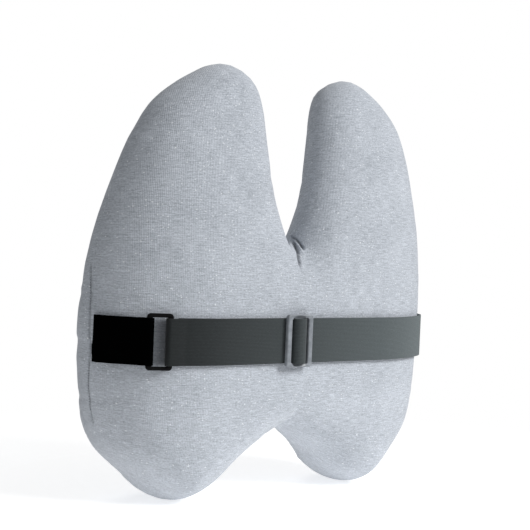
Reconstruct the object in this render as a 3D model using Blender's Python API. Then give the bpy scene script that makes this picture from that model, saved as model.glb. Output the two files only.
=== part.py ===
"""Butterfly-shaped lumbar support cushion with an elastic chair strap.

Frame: +Z up, the back (strap side) faces -Y and the sitter's side faces +Y. Lengths are
in millimetres here and become metres in place(). The shape is worked out with the lowest
point of the outline at Z 0, and hang_on_mount() then puts the origin on the flat of the
back, where the cushion rests against the chair that holds it up.
"""

import math

import bmesh
import bpy
from mathutils import Matrix, Vector

MM = 0.001

# ---- overall shape ---------------------------------------------------------------
WIDTH = 382.0
HEIGHT = 392.0
THICKNESS = 76.0            # at the middle of the lumbar area
EDGE_RADIUS = 33.0          # depth of the rounded rim, seen from the back
SLOT_DEPTH = 160.0          # slot between the two wings, from the top down
SLOT_HALF_TOP = 34.0        # half of the slot's mouth, between the wing tips
SLOT_FLOOR_RADIUS = 8.0
TIP_RADIUS = 36.0           # wing tips, seen from the back
NOTCH_HEIGHT = 64.0         # notch between the two lobes, from the bottom up
LOBE_X = 109.0              # middle of each lobe
WAIST_Z = 167.0             # height where the cushion is widest
SIDE_RADIUS = 340.0         # the long arc of each side

# ---- front and back surfaces -----------------------------------------------------
RIDGE_X = 126.0             # where the flat back turns into the angled flanks
RIDGE_SPREAD = 38.0         # half-width of that turn
FLANK_ANGLE = 33.3          # degrees, flank against the flat back
UPPER_Z = 240.0             # above this the back leans forward
UPPER_SPREAD = 40.0
UPPER_ANGLE = 7.4
LOWER_Z = 80.0              # below this the back tucks forward
LOWER_SPREAD = 30.0
LOWER_ANGLE = 8.7
FRONT_HOLLOW = 0.00069      # front concavity across the width, 1/mm
FRONT_TAPER = 0.155         # the cushion thins towards the top by this much per mm
FRONT_LIFT = 0.00054        # and curls back towards the sitter, 1/mm
LUMBAR_Z = 152.0            # height of the thickest point

# ---- layers, as depths below the cover's outer surface ---------------------------
COVER = (0.0, 2.2)
PATCH = (2.6, 3.4)
LINER = (3.9, 4.7)
FOAM_DEPTH = 6.3
SEAM_ANGLE = 38.0           # front seam's place round the rim, 90 is the front face
SEAM_GAP_ANGLE = 0.5        # half of the gap that keeps the two panels apart
GRID = 34.0                 # spacing of the panels' facets
PATCH_X = 132.0             # inner edge of the reinforcement behind each strap end
PATCH_HALF_HEIGHT = 40.0
MOUNT_Z = 113.0             # height of the place that rests against the chair's back

# ---- strap and its hardware ------------------------------------------------------
STRAP_Z = 147.0
STRAP_MARGIN = 5.0           # from the strap to the facets that rest on the chair
STRAP_WIDTH = 40.0
WEBBING = 1.4               # thickness of the elastic webbing
GAP = 0.4                   # clearance between neighbouring pieces
STRAP_LIFT = 0.9            # clearance between the strap and the cover behind it
STRAP_SEWN_ANGLE = -30.0    # rim angle where the strap's ends leave the cover
RING_S = -150.0             # ring's middle, measured along the back from the centre
RING_WIDTH = 22.5
RING_BAR = 4.0
RING_RAIL = 3.4
RING_THICK = 3.2
SLIDER_X = -13.0
SLIDER_WIDTH = 29.0
SLIDER_BAR = 5.2
SLIDER_RAIL = 2.9
SLIDER_CENTRE_BAR = 10.0
SLIDER_THICK = 4.4
SLIDER_BAR_DROP = 2.6       # centre bar's outer face below the frame's
SIDE_CLEARANCE = 0.6        # webbing to each side of the hardware's window
RING_LIFT = 0.6             # clearance between the fold round a bar and the run behind it
TAB_END = 6.0               # from the tab's sewn end to the end of its folded-back layer
TAB_DIP = 4.0               # length in which the tab leaves the cushion for the bar
TAB_LAY = 13.0              # length in which the folded-back layer lies down again
BAND_LAY = 12.0             # the same for the band
RETURN_START = 7.0          # from the right bar to the start of the returning end
BAND_END_S = 104.0          # where the moving part of the strap meets the right run

# ---- zip along the right-hand side of the front seam ------------------------------
ZIP_LOW = 78.0
ZIP_HIGH = 262.0
ZIP_MARGIN = 1.6            # from the zip's tape to the edge of the cover's opening
ZIP_ROOM = 26.0             # the opening runs this far past the zip's ends
ZIP_OPENING_MOST = 26.0     # degrees round the rim, the most that the opening may take
COIL_INNER = 0.75           # from the zip's middle line to the coil's teeth tips
COIL_WIDTH = 2.0
COIL_HALF_HEIGHT = 1.1
TAPE_WIDTH = 2.4
TAPE_HALF_HEIGHT = 0.3
ZIP_SLIDER_LENGTH = 11.0
ZIP_SLIDER_HALF_WIDTH = 4.2
ZIP_PLATE = 1.1
ZIP_WEB_HALF = 0.4
ZIP_STOP = 3.0
BAIL_LENGTH = 7.0
BAIL_HEIGHT = 3.6
BAIL_WIRE = 1.2
PULL_LENGTH = 26.0
PULL_WIDTH = 6.5
PULL_THICK = 1.4
PULL_EYE_LENGTH = 4.3
PULL_EYE_WIDTH = 3.0
PULL_WALL = 1.3             # the eye's end, which turns inside the bail

# Rings of vertices round the rim, from the back face to the front face.
RIM_ANGLES = (-90.0, -58.0, -28.0, 6.0, SEAM_ANGLE, SEAM_ANGLE, 66.0, 90.0)
SEAM_BELOW = 4
SEAM_ABOVE = 5
PATCH_LAST_RING = 3


# ---- outline ----------------------------------------------------------------------
def half_outline():
    """Knots of the right half, from the slot's floor round the wing to the notch."""
    slot = HEIGHT - SLOT_DEPTH
    tip_x = SLOT_HALF_TOP + TIP_RADIUS
    tip_z = HEIGHT - TIP_RADIUS
    floor = slot + SLOT_FLOOR_RADIUS
    knots = [(0.0, slot)]
    for degrees in (-48, -10):
        turn = math.radians(degrees)
        reach = SLOT_FLOOR_RADIUS
        knots.append((reach * math.cos(turn), floor + reach * math.sin(turn)))
    knots += [
        (0.4 * SLOT_HALF_TOP, slot + 0.12 * SLOT_DEPTH),
        (0.67 * SLOT_HALF_TOP, slot + 0.285 * SLOT_DEPTH),
        (0.87 * SLOT_HALF_TOP, slot + 0.575 * SLOT_DEPTH),
    ]
    for degrees in (175, 135, 90):
        turn = math.radians(degrees)
        knots.append((tip_x + TIP_RADIUS * math.cos(turn), tip_z + TIP_RADIUS * math.sin(turn)))
    knots += [
        (tip_x + 1.63 * TIP_RADIUS, tip_z + 0.14 * TIP_RADIUS),
        (0.394 * WIDTH, tip_z - 0.68 * TIP_RADIUS),
    ]
    centre = WIDTH / 2 - SIDE_RADIUS
    for rise in (0.32, 0.165, 0.0, -0.153, -0.286):
        lift = rise * HEIGHT
        knots.append((centre + math.sqrt(SIDE_RADIUS**2 - lift**2), WAIST_Z + lift))
    knots += [
        (LOBE_X + 33.0, 0.39 * NOTCH_HEIGHT),
        (LOBE_X, 0.0),
        (LOBE_X - 34.0, 0.165 * NOTCH_HEIGHT),
        (0.44 * LOBE_X, 0.555 * NOTCH_HEIGHT),
        (0.145 * LOBE_X, 0.9 * NOTCH_HEIGHT),
        (0.0, NOTCH_HEIGHT),
    ]
    return [Vector(knot) for knot in knots]


def smooth_loop(knots, steps):
    """Closed centripetal Catmull-Rom curve through the knots."""
    points = []
    count = len(knots)
    for i in range(count):
        p0, p1, p2, p3 = (knots[(i + k) % count] for k in (-1, 0, 1, 2))
        a, b, c = ((q - p).length ** 0.5 for p, q in ((p0, p1), (p1, p2), (p2, p3)))
        leave = ((p1 - p0) / a - (p2 - p0) / (a + b) + (p2 - p1) / b) * b
        arrive = ((p2 - p1) / b - (p3 - p1) / (b + c) + (p3 - p2) / c) * b
        for k in range(steps):
            t = k / steps
            points.append(
                (2 * t**3 - 3 * t**2 + 1) * p1
                + (t**3 - 2 * t**2 + t) * leave
                + (3 * t**2 - 2 * t**3) * p2
                + (t**3 - t**2) * arrive
            )
    return points


def outline(steps=2):
    """The cushion's outline seen from the back, with its outward normals."""
    right = half_outline()
    left = [Vector((-knot.x, knot.y)) for knot in right[-2:0:-1]]
    points = smooth_loop(right + left, steps)
    count = len(points)
    normals = []
    for i in range(count):
        along = points[(i + 1) % count] - points[i - 1]
        normals.append(Vector((-along.y, along.x)).normalized())
    return points, normals


# ---- surfaces -----------------------------------------------------------------------
def ramp(value, spread):
    """0 well below zero, the value itself well above, and a parabola between them."""
    if value <= -spread:
        return 0.0
    if value >= spread:
        return value
    return (value + spread) ** 2 / (4 * spread)


def slope(degrees):
    return math.tan(math.radians(degrees))


def back_y(x, z):
    flank = slope(FLANK_ANGLE) * ramp(abs(x) - RIDGE_X, RIDGE_SPREAD)
    upper = slope(UPPER_ANGLE) * ramp(z - UPPER_Z, UPPER_SPREAD)
    lower = slope(LOWER_ANGLE) * ramp(LOWER_Z - z, LOWER_SPREAD)
    return -THICKNESS / 2 + flank + upper + lower


def front_y(x, z):
    rise = z - LUMBAR_Z
    return THICKNESS / 2 + FRONT_HOLLOW * x**2 - FRONT_TAPER * rise + FRONT_LIFT * rise**2


def skin_point(foot, out, degrees, depth):
    """A point at this depth under the surface.

    foot is where the rounded rim starts, out points away from the cushion there, and
    degrees goes round the rim from the back face (-90) to the front face (90).
    """
    turn = math.radians(degrees)
    reach = (EDGE_RADIUS - depth) * math.cos(turn)
    x = foot.x + out.x * reach
    z = foot.y + out.y * reach
    near = back_y(x, z)
    far = front_y(x, z)
    half = (far - near) / 2 - depth
    return Vector((x, (near + far) / 2 + half * math.sin(turn), z))


# ---- cushion shells ------------------------------------------------------------------
def rim_feet():
    """Where the rim starts, all round, with the outward direction at each place."""
    points, normals = outline()
    return [p - n * EDGE_RADIUS for p, n in zip(points, normals)], normals


def spaced_lines(wanted, low, high):
    """The wanted lines, and evenly spaced ones between them that keep clear of them."""
    count = round((high - low) / GRID)
    even = [low + (high - low) * k / count for k in range(count + 1)]
    return wanted + [line for line in even if all(abs(line - w) > GRID / 2 for w in wanted)]


def cut_lines():
    """Planes that divide the faces into facets, mirrored about the middle."""
    across = spaced_lines([-PATCH_X, PATCH_X], -WIDTH / 2, WIDTH / 2)
    heights = (PATCH_HALF_HEIGHT, STRAP_WIDTH / 2 + STRAP_MARGIN)
    beside = [STRAP_Z + sign * height for height in heights for sign in (-1, 1)]
    upward = spaced_lines(beside, 0.0, HEIGHT)
    return [(Vector((1, 0, 0)), x) for x in across] + [(Vector((0, 0, 1)), z) for z in upward]


def face_panel():
    """The flat inner part of one face, divided into facets, as (foot, out) pairs."""
    feet, normals = rim_feet()
    bm = bmesh.new()
    bm.faces.new([bm.verts.new((f.x, 0, f.y)) for f in feet])
    for normal, distance in cut_lines():
        everything = bm.verts[:] + bm.edges[:] + bm.faces[:]
        bmesh.ops.bisect_plane(
            bm, geom=everything, dist=0.5, plane_co=normal * distance, plane_no=normal
        )
    bmesh.ops.triangulate(bm, faces=bm.faces[:])
    return bm, feet, normals


def outward_at(place, feet, normals):
    """Outward direction at a point on the panel's border, blended between the feet."""
    best = None
    for i, start in enumerate(feet):
        end = feet[(i + 1) % len(feet)]
        run = end - start
        share = max(0.0, min(1.0, (place - start).dot(run) / run.length_squared))
        miss = (start + run * share - place).length
        if best is None or miss < best[0]:
            best = (miss, normals[i].lerp(normals[(i + 1) % len(feet)], share).normalized())
    return best[1]


def make_skin():
    """The cushion's whole skin as a closed mesh whose vertices know their place on it."""
    bm, feet, normals = face_panel()
    foot_of = bm.verts.layers.float_vector.new("foot")
    out_of = bm.verts.layers.float_vector.new("out")
    ring_of = bm.verts.layers.int.new("ring")
    border = {v for e in bm.edges if e.is_boundary for v in e.verts}
    for vert in bm.verts:
        vert[foot_of] = vert.co
        if vert in border:
            out = outward_at(Vector((vert.co.x, vert.co.z)), feet, normals)
            vert[out_of] = (out.x, 0, out.y)
    last = len(RIM_ANGLES) - 1
    panel = bm.verts[:] + bm.edges[:] + bm.faces[:]
    front = bmesh.ops.duplicate(bm, geom=panel)["geom"]
    for item in front:
        if isinstance(item, bmesh.types.BMVert):
            item[ring_of] = last
    bmesh.ops.reverse_faces(bm, faces=[f for f in front if isinstance(f, bmesh.types.BMFace)])
    edges = [e for e in bm.edges if e.is_boundary and e.verts[0] in border]
    for ring in range(1, last + 1):
        grown = bmesh.ops.extrude_edge_only(bm, edges=edges)["geom"]
        for vert in (item for item in grown if isinstance(item, bmesh.types.BMVert)):
            vert[ring_of] = ring
        edges = [
            e for e in grown
            if isinstance(e, bmesh.types.BMEdge) and all(v[ring_of] == ring for v in e.verts)
        ]
    for vert in bm.verts:
        vert.co = layer_point(vert, foot_of, out_of, ring_of, 0.0)
    bmesh.ops.remove_doubles(bm, verts=bm.verts[:], dist=0.001)
    bmesh.ops.triangulate(bm, faces=bm.faces[:])
    bmesh.ops.recalc_face_normals(bm, faces=bm.faces[:])
    return bm


def layer_point(vert, foot_of, out_of, ring_of, depth, arc=None):
    """Where a vertex of the skin is at this depth; arc opens the seam beside the zip."""
    foot = Vector((vert[foot_of].x, vert[foot_of].z))
    out = Vector((vert[out_of].x, vert[out_of].z))
    ring = vert[ring_of]
    degrees = RIM_ANGLES[ring]
    if ring in (SEAM_BELOW, SEAM_ABOVE):
        side = 1 if ring == SEAM_ABOVE else -1
        if arc and beside_zip(foot, out):
            degrees = opening_degrees(foot, out, depth, arc, side)
        else:
            degrees += side * SEAM_GAP_ANGLE
    return skin_point(foot, out, degrees, depth)


def beside_zip(foot, out):
    """Whether a place on the rim is beside the zip on the right-hand side."""
    z = foot.y + out.y * EDGE_RADIUS
    return foot.x > 0 and out.x > 0.5 and ZIP_LOW - ZIP_ROOM < z < ZIP_HIGH + ZIP_ROOM


def opening_degrees(foot, out, depth, arc, side):
    """Place round the rim where the cover's edge keeps its distance from the zip."""
    wanted = COIL_INNER + COIL_WIDTH + GAP + TAPE_WIDTH + ZIP_MARGIN
    near = SEAM_ANGLE - side * ZIP_OPENING_MOST
    far = SEAM_ANGLE + side * ZIP_OPENING_MOST
    for _ in range(24):
        middle = (near + far) / 2
        if side * arc.offset(skin_point(foot, out, middle, depth)) < wanted:
            near = middle
        else:
            far = middle
    return far


def shell(skin, keep, depths, arc=None):
    """A fabric layer: the kept part of the skin, between two depths, closed round its edge."""
    bm = skin.copy()
    foot_of = bm.verts.layers.float_vector["foot"]
    out_of = bm.verts.layers.float_vector["out"]
    ring_of = bm.verts.layers.int["ring"]
    dropped = [f for f in bm.faces if not keep([v[ring_of] for v in f.verts], f)]
    bmesh.ops.delete(bm, geom=dropped, context="FACES")
    outer = bm.verts[:]
    rim = [(e, e.link_loops[0].vert) for e in bm.edges if e.is_boundary]
    copied = bmesh.ops.duplicate(bm, geom=outer + bm.edges[:] + bm.faces[:])
    twin = copied["vert_map"]
    inner_faces = [f for f in copied["geom"] if isinstance(f, bmesh.types.BMFace)]
    inner = [twin[vert] for vert in outer]
    for verts, depth in ((outer, depths[0]), (inner, depths[1])):
        for vert in verts:
            vert.co = layer_point(vert, foot_of, out_of, ring_of, depth, arc)
    bmesh.ops.reverse_faces(bm, faces=inner_faces)
    for edge, start in rim:
        end = edge.other_vert(start)
        bm.faces.new((end, start, twin[start], twin[end]))
    return bm


def core(skin, depth):
    """The foam: the whole skin, pulled in to this depth."""
    bm = skin.copy()
    layers = (
        bm.verts.layers.float_vector["foot"],
        bm.verts.layers.float_vector["out"],
        bm.verts.layers.int["ring"],
    )
    for vert in bm.verts:
        vert.co = layer_point(vert, *layers, depth)
    return bm


def is_back(rings, face):
    return max(rings) <= SEAM_BELOW


def is_front(rings, face):
    return min(rings) >= SEAM_ABOVE


def patch_on(side):
    """Chooses the flank behind the strap's sewn end."""

    def keep(rings, face):
        middle = face.calc_center_median()
        inside = side * middle.x > PATCH_X and abs(middle.z - STRAP_Z) < PATCH_HALF_HEIGHT
        return max(rings) <= PATCH_LAST_RING and inside

    return keep


# ---- strap ------------------------------------------------------------------------------
def strap_route():
    """The back's section at the strap's height, from the left rim to the right rim."""
    half = WIDTH / 2 - SIDE_RADIUS + math.sqrt(SIDE_RADIUS**2 - (STRAP_Z - WAIST_Z) ** 2)
    foot_x = half - EDGE_RADIUS
    points = []
    for k in range(9):
        degrees = STRAP_SEWN_ANGLE + (-90.0 - STRAP_SEWN_ANGLE) * k / 9
        points.append(skin_point(Vector((foot_x, STRAP_Z)), Vector((1, 0)), degrees, 0.0))
    steps = 32
    for k in range(steps + 1):
        x = foot_x * (1 - k / steps)
        points.append(Vector((x, back_y(x, STRAP_Z), STRAP_Z)))
    right = [Vector((p.x, p.y)) for p in points]
    left = [Vector((-p.x, p.y)) for p in right[:-1]]
    return left + right[::-1]


class Route:
    """Distances along the strap's route, 0 at the middle of the back."""

    def __init__(self, points):
        self.points = points
        self.at = [0.0]
        for here, there in zip(points, points[1:]):
            self.at.append(self.at[-1] + (there - here).length)
        middle = self.at[-1] / 2
        self.at = [distance - middle for distance in self.at]

    def place(self, s, lift):
        """The point this far along, lifted off the cushion, and the outward direction."""
        k = max(0, min(len(self.at) - 2, sum(1 for d in self.at[1:-1] if d <= s)))
        run = self.points[k + 1] - self.points[k]
        share = (s - self.at[k]) / (self.at[k + 1] - self.at[k])
        before = self.points[max(k - 1, 0)]
        after = self.points[min(k + 2, len(self.points) - 1)]
        along = run.lerp(after - before, 0.5).normalized()
        out = Vector((along.y, -along.x))
        return self.points[k] + run * share + out * lift, out

    def span(self, start, end, lift, pitch=6.0):
        """Points along the route from start to end, lifted off the cushion."""
        count = max(1, round(abs(end - start) / pitch))
        return [self.place(start + (end - start) * k / count, lift)[0] for k in range(count + 1)]


def ribbon(path, thickness, width, height):
    """Webbing on edge: a strip along a path in plan, with its width upright."""
    bm = bmesh.new()
    pairs = []
    for i, point in enumerate(path):
        before = path[max(i - 1, 0)]
        after = path[min(i + 1, len(path) - 1)]
        along = (after - before).normalized()
        if 0 < i < len(path) - 1:
            lean = along.dot((after - point).normalized())
        else:
            lean = 1.0
        side = Vector((-along.y, along.x)) * (thickness / 2 / max(lean, 0.5))
        low = height - width / 2
        pairs.append([bm.verts.new((*(point + s * side), low)) for s in (-1, 1)])
    for (a, b), (c, d) in zip(pairs, pairs[1:]):
        bm.faces.new((a, b, d, c))
    raise_faces(bm, Vector((0, 0, width)))
    return bm


def raise_faces(bm, travel):
    """Extrudes every face of a flat sheet into a closed solid."""
    grown = bmesh.ops.extrude_face_region(bm, geom=bm.faces[:])["geom"]
    verts = [item for item in grown if isinstance(item, bmesh.types.BMVert)]
    bmesh.ops.translate(bm, verts=verts, vec=travel)
    bmesh.ops.recalc_face_normals(bm, faces=bm.faces[:])


def half_turn(centre, radius, start, end, steps=6):
    """Points on an arc in plan, from one direction (degrees) to another."""
    turns = (math.radians(start + (end - start) * k / steps) for k in range(steps + 1))
    return [centre + radius * Vector((math.cos(t), math.sin(t))) for t in turns]


def plate(xs, zs, holes, thickness, corner, chamfer, sink=None):
    """A flat frame: a grid of cells with some left out, raised and with eased edges.

    sink is (half-width, half-height, drop), and lowers the outer face inside that area.
    """
    bm = bmesh.new()
    grid = [[bm.verts.new((x, 0, z)) for z in zs] for x in xs]
    for i in range(len(xs) - 1):
        for j in range(len(zs) - 1):
            if (i, j) not in holes:
                cell = (grid[i][j], grid[i + 1][j], grid[i + 1][j + 1], grid[i][j + 1])
                bm.faces.new(cell)
    bmesh.ops.delete(bm, geom=[v for v in bm.verts if not v.link_faces], context="VERTS")
    raise_faces(bm, Vector((0, -thickness, 0)))
    bmesh.ops.translate(bm, verts=bm.verts[:], vec=(0, thickness / 2, 0))
    if sink:
        for vert in bm.verts:
            inside = abs(vert.co.x) < sink[0] + 0.01 and abs(vert.co.z) < sink[1] + 0.01
            if inside and vert.co.y < 0:
                vert.co.y += sink[2]
    far = Vector((max(abs(x) for x in xs), 0, max(abs(z) for z in zs)))
    posts = [
        e for e in bm.edges
        if all(abs(abs(v.co.x) - far.x) < 0.01 and abs(abs(v.co.z) - far.z) < 0.01 for v in e.verts)
    ]
    bmesh.ops.bevel(
        bm, geom=posts, offset=corner, offset_type="OFFSET", segments=3, profile=0.5,
        affect="EDGES", material=-1,
    )
    sharp = [
        e for e in bm.edges
        if len(e.link_faces) == 2 and e.calc_face_angle() > 1.2
        and abs(e.verts[0].co.y - e.verts[1].co.y) < 0.01
    ]
    bmesh.ops.bevel(
        bm, geom=sharp, offset=chamfer, offset_type="OFFSET", segments=1, profile=0.5,
        affect="EDGES", material=-1,
    )
    return bm


# ---- zip ------------------------------------------------------------------------------------
def seam_point(z):
    """The front seam's middle line on the right-hand side, at this height."""
    feet, normals = rim_feet()
    side = [
        skin_point(foot, out, SEAM_ANGLE, 0.0)
        for foot, out in zip(feet, normals)
        if foot.x > 0 and out.x > 0.5
    ]
    side.sort(key=lambda p: p.z)
    for low, high in zip(side, side[1:]):
        if low.z <= z <= high.z:
            return low.lerp(high, (z - low.z) / (high.z - low.z))
    raise ValueError("the zip reaches past the side's seam")


class ZipArc:
    """The circle through the seam's lower, middle and upper points beside the zip."""

    def __init__(self):
        a, b, c = (seam_point(z) for z in (ZIP_LOW, (ZIP_LOW + ZIP_HIGH) / 2, ZIP_HIGH))
        ab = b - a
        ac = c - a
        normal = ab.cross(ac)
        to_centre = (
            ac.length_squared * normal.cross(ab) + ab.length_squared * ac.cross(normal)
        ) / (2 * normal.length_squared)
        self.centre = a + to_centre
        self.axis = normal.normalized()
        if self.axis.y > 0:
            self.axis = -self.axis
        self.radius = to_centre.length
        self.start = a
        self.sweep = (a - self.centre).angle(c - self.centre)
        outward = (a - self.centre).normalized()
        lean = math.radians(SEAM_ANGLE)
        self.across = -self.axis * math.cos(lean) - outward * math.sin(lean)
        self.across.normalize()
        self.along = self.axis.cross(outward).normalized()
        self.normal = self.across.cross(self.along)
        if self.normal.dot(outward) < 0:
            self.normal = -self.normal

    def offset(self, point):
        """How far a point lies across the zip from its middle line, towards the front."""
        place = point - self.centre
        rise = place.dot(self.axis)
        beyond = (place - self.axis * rise).length - self.radius
        lean = math.radians(SEAM_ANGLE)
        return -rise * math.cos(lean) - beyond * math.sin(lean)

    def at(self, p, q, along=0.0):
        """A point beside the zip's lower end: p towards the front, q outward."""
        return self.start + self.across * p + self.normal * q + self.along * along

    def turn(self, angle):
        return (
            Matrix.Translation(self.centre)
            @ Matrix.Rotation(angle, 4, self.axis)
            @ Matrix.Translation(-self.centre)
        )


def swept(arc, section, start, end, steps):
    """A section of (p, q) points carried along the zip from one angle to another."""
    bm = bmesh.new()
    ring = [bm.verts.new(arc.turn(start) @ arc.at(p, q)) for p, q in section]
    edges = [bm.edges.new((ring[i - 1], ring[i])) for i in range(len(ring))]
    bmesh.ops.spin(
        bm, geom=ring + edges, cent=arc.centre, axis=arc.axis, angle=end - start, steps=steps
    )
    bmesh.ops.holes_fill(bm, edges=[e for e in bm.edges if e.is_boundary], sides=0)
    bmesh.ops.recalc_face_normals(bm, faces=bm.faces[:])
    return bm


def box_section(p_low, p_high, q_low, q_high):
    return [(p_low, q_low), (p_high, q_low), (p_high, q_high), (p_low, q_high)]


def coil_section(side):
    """A rounded bar of interlocked coil, on one side of the middle line."""
    middle = side * (COIL_INNER + COIL_WIDTH / 2)
    turns = [math.tau * k / 8 for k in range(8)]
    return [
        (middle + COIL_WIDTH / 2 * math.cos(t), COIL_HALF_HEIGHT * math.sin(t)) for t in turns
    ]


def slider_section():
    """An I: two plates that hold the coil between them, joined by the middle web."""
    inner = COIL_HALF_HEIGHT + GAP
    outer = inner + ZIP_PLATE
    wide = ZIP_SLIDER_HALF_WIDTH
    web = ZIP_WEB_HALF
    return [
        (-wide, -outer), (wide, -outer), (wide, -inner), (web, -inner),
        (web, inner), (wide, inner), (wide, outer), (-wide, outer),
        (-wide, inner), (-web, inner), (-web, -inner), (-wide, -inner),
    ]


# ---- output -----------------------------------------------------------------------------------
def finish_material(name, colour, roughness, metallic=0.0):
    material = bpy.data.materials.new(name)
    material.use_nodes = True
    shader = material.node_tree.nodes["Principled BSDF"]
    shader.inputs["Base Color"].default_value = (*colour, 1.0)
    shader.inputs["Roughness"].default_value = roughness
    shader.inputs["Metallic"].default_value = metallic
    return material


FINISHES = {
    "cover": ((0.42, 0.44, 0.46), 0.95),
    "liner": ((0.85, 0.85, 0.83), 0.9),
    "foam": ((0.93, 0.89, 0.72), 0.95),
    "patch": ((0.8, 0.8, 0.8), 0.9),
    "webbing": ((0.02, 0.02, 0.022), 0.85),
    "hardware": ((0.05, 0.05, 0.055), 0.4),
    "tape": ((0.3, 0.31, 0.33), 0.9),
    "coil": ((0.25, 0.26, 0.28), 0.5),
    "zip_metal": ((0.55, 0.56, 0.58), 0.3, 1.0),
}


def place(name, bm, finish, origin=Vector((0, 0, 0)), parent=None, smooth=True):
    """Makes the object in metres, with its origin at the given point in millimetres."""
    bmesh.ops.translate(bm, verts=bm.verts[:], vec=-origin)
    bmesh.ops.scale(bm, verts=bm.verts[:], vec=(MM, MM, MM))
    bmesh.ops.triangulate(bm, faces=bm.faces[:])
    mesh = bpy.data.meshes.new(name)
    bm.to_mesh(mesh)
    bm.free()
    if smooth:
        mesh.shade_smooth()
        mesh.set_sharp_from_angle(angle=math.radians(40))
    mesh.materials.append(finish_material(name, *FINISHES[finish]))
    thing = bpy.data.objects.new(name, mesh)
    thing.location = origin * MM
    if parent:
        thing.parent = parent
        thing.location = origin * MM - parent.location
    bpy.context.collection.objects.link(thing)
    return thing


def empty(name, origin):
    marker = bpy.data.objects.new(name, None)
    marker.location = origin * MM
    bpy.context.collection.objects.link(marker)
    return marker


def joined(target, tool):
    """Unites a second piece with the first and removes it."""
    union = target.modifiers.new("union", "BOOLEAN")
    union.operation = "UNION"
    union.solver = "EXACT"
    union.object = tool
    bpy.context.view_layer.update()
    graph = bpy.context.evaluated_depsgraph_get()
    mesh = bpy.data.meshes.new_from_object(target.evaluated_get(graph))
    target.modifiers.remove(union)
    target.data = mesh
    bpy.data.objects.remove(tool)


# ---- sub-parts -----------------------------------------------------------------------------------
def build_cushion(skin, arc):
    place("foam_core", core(skin, FOAM_DEPTH), "foam")
    place("liner_back", shell(skin, is_back, LINER), "liner")
    place("liner_front", shell(skin, is_front, LINER), "liner")
    place("patch_left", shell(skin, patch_on(-1), PATCH), "patch")
    place("patch_right", shell(skin, patch_on(1), PATCH), "patch")
    place("cover_back", shell(skin, is_back, COVER, arc), "cover")
    place("cover_front", shell(skin, is_front, COVER, arc), "cover")


def flat_pose(route, s, lift):
    """Places a flat plate on the strap's route: its middle, and its turn about Z."""
    middle, out = route.place(s, lift)
    angle = math.atan2(out.y, out.x) + math.pi / 2
    return Vector((middle.x, middle.y, STRAP_Z)), angle


def turned(bm, middle, angle):
    bmesh.ops.transform(
        bm, matrix=Matrix.Translation(middle) @ Matrix.Rotation(angle, 4, "Z"), verts=bm.verts[:]
    )
    return bm


def build_strap(route):
    """The elastic strap, its ring and its tri-glide slider."""
    half = WEBBING / 2
    return_lift = STRAP_LIFT + half
    band_lift = return_lift + WEBBING + GAP
    fold_radius = math.hypot(RING_THICK / 2, RING_BAR / 2) + GAP + half
    ring_lift = STRAP_LIFT + half + fold_radius + RING_LIFT
    window_z = STRAP_WIDTH / 2 + SIDE_CLEARANCE

    # The ring, whose left bar holds the sewn tab and whose right bar holds the band.
    ring_outer = RING_WIDTH / 2
    xs = (-ring_outer, -ring_outer + RING_BAR, ring_outer - RING_BAR, ring_outer)
    zs = (-window_z - RING_RAIL, -window_z, window_z, window_z + RING_RAIL)
    middle, angle = flat_pose(route, RING_S, ring_lift)
    ring = plate(xs, zs, {(1, 1)}, RING_THICK, 0.85 * RING_RAIL, 0.7)
    strap_axis = empty("strap_axis", Vector((0, back_y(0, STRAP_Z), STRAP_Z)))
    place("strap_ring", turned(ring, middle, angle), "hardware", parent=strap_axis)

    # Bar centres in plan, and the directions along and out of the ring.
    along = Vector((math.cos(angle), math.sin(angle)))
    out = Vector((along.y, -along.x))
    centre = Vector((middle.x, middle.y))
    bar_offset = ring_outer - RING_BAR / 2
    heading = math.degrees(angle)

    # The tab: out of the left seam, along the flank, round the left bar and back.
    start = route.at[0] + 1.0
    left_bar = centre - along * bar_offset
    inner_end = left_bar - along * (fold_radius + 1.0) - out * fold_radius * 0.8
    inner_s = nearest_s(route, inner_end)
    tab = route.span(start, inner_s - TAB_DIP, return_lift)
    tab += [left_bar - out * fold_radius - along * 1.0]
    tab += half_turn(left_bar, fold_radius, heading + 90, heading - 90)[1:]
    outer_start = nearest_s(route, left_bar + out * fold_radius)
    tab += route.span(outer_start - TAB_LAY, start + TAB_END, return_lift + WEBBING + 2 * GAP)
    place("strap_tab", ribbon(tab, WEBBING, STRAP_WIDTH, STRAP_Z), "webbing", parent=strap_axis)

    # The band: round the right bar, then flat along the back to the right run.
    right_bar = centre + along * bar_offset
    band = [right_bar - out * fold_radius + along * 2.0]
    band += half_turn(right_bar, fold_radius, heading + 90, heading + 270)
    right_s = nearest_s(route, right_bar)
    band += route.span(right_s + BAND_LAY, BAND_END_S, band_lift)
    place("strap_band", ribbon(band, WEBBING, STRAP_WIDTH, STRAP_Z), "webbing", parent=strap_axis)

    # The returning end behind the band, from the ring to the slider's centre bar.
    back = route.span(right_s + RETURN_START, SLIDER_X - SLIDER_WIDTH / 2, return_lift)
    place("strap_return", ribbon(back, WEBBING, STRAP_WIDTH, STRAP_Z), "webbing", parent=strap_axis)

    # The right run: from the band round the ridge to the right seam.
    run = route.span(BAND_END_S + GAP, route.at[-1] - 1.0, band_lift)
    place("strap_run", ribbon(run, WEBBING, STRAP_WIDTH, STRAP_Z), "webbing", parent=strap_axis)
    build_slider(band_lift + half, strap_axis)


def nearest_s(route, point):
    """Distance along the route of the place nearest to a point in plan."""
    low = route.at[0]
    high = route.at[-1]
    tries = [low + (high - low) * k / 800 for k in range(801)]
    return min(tries, key=lambda s: (route.place(s, 0.0)[0] - point).length)


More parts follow.
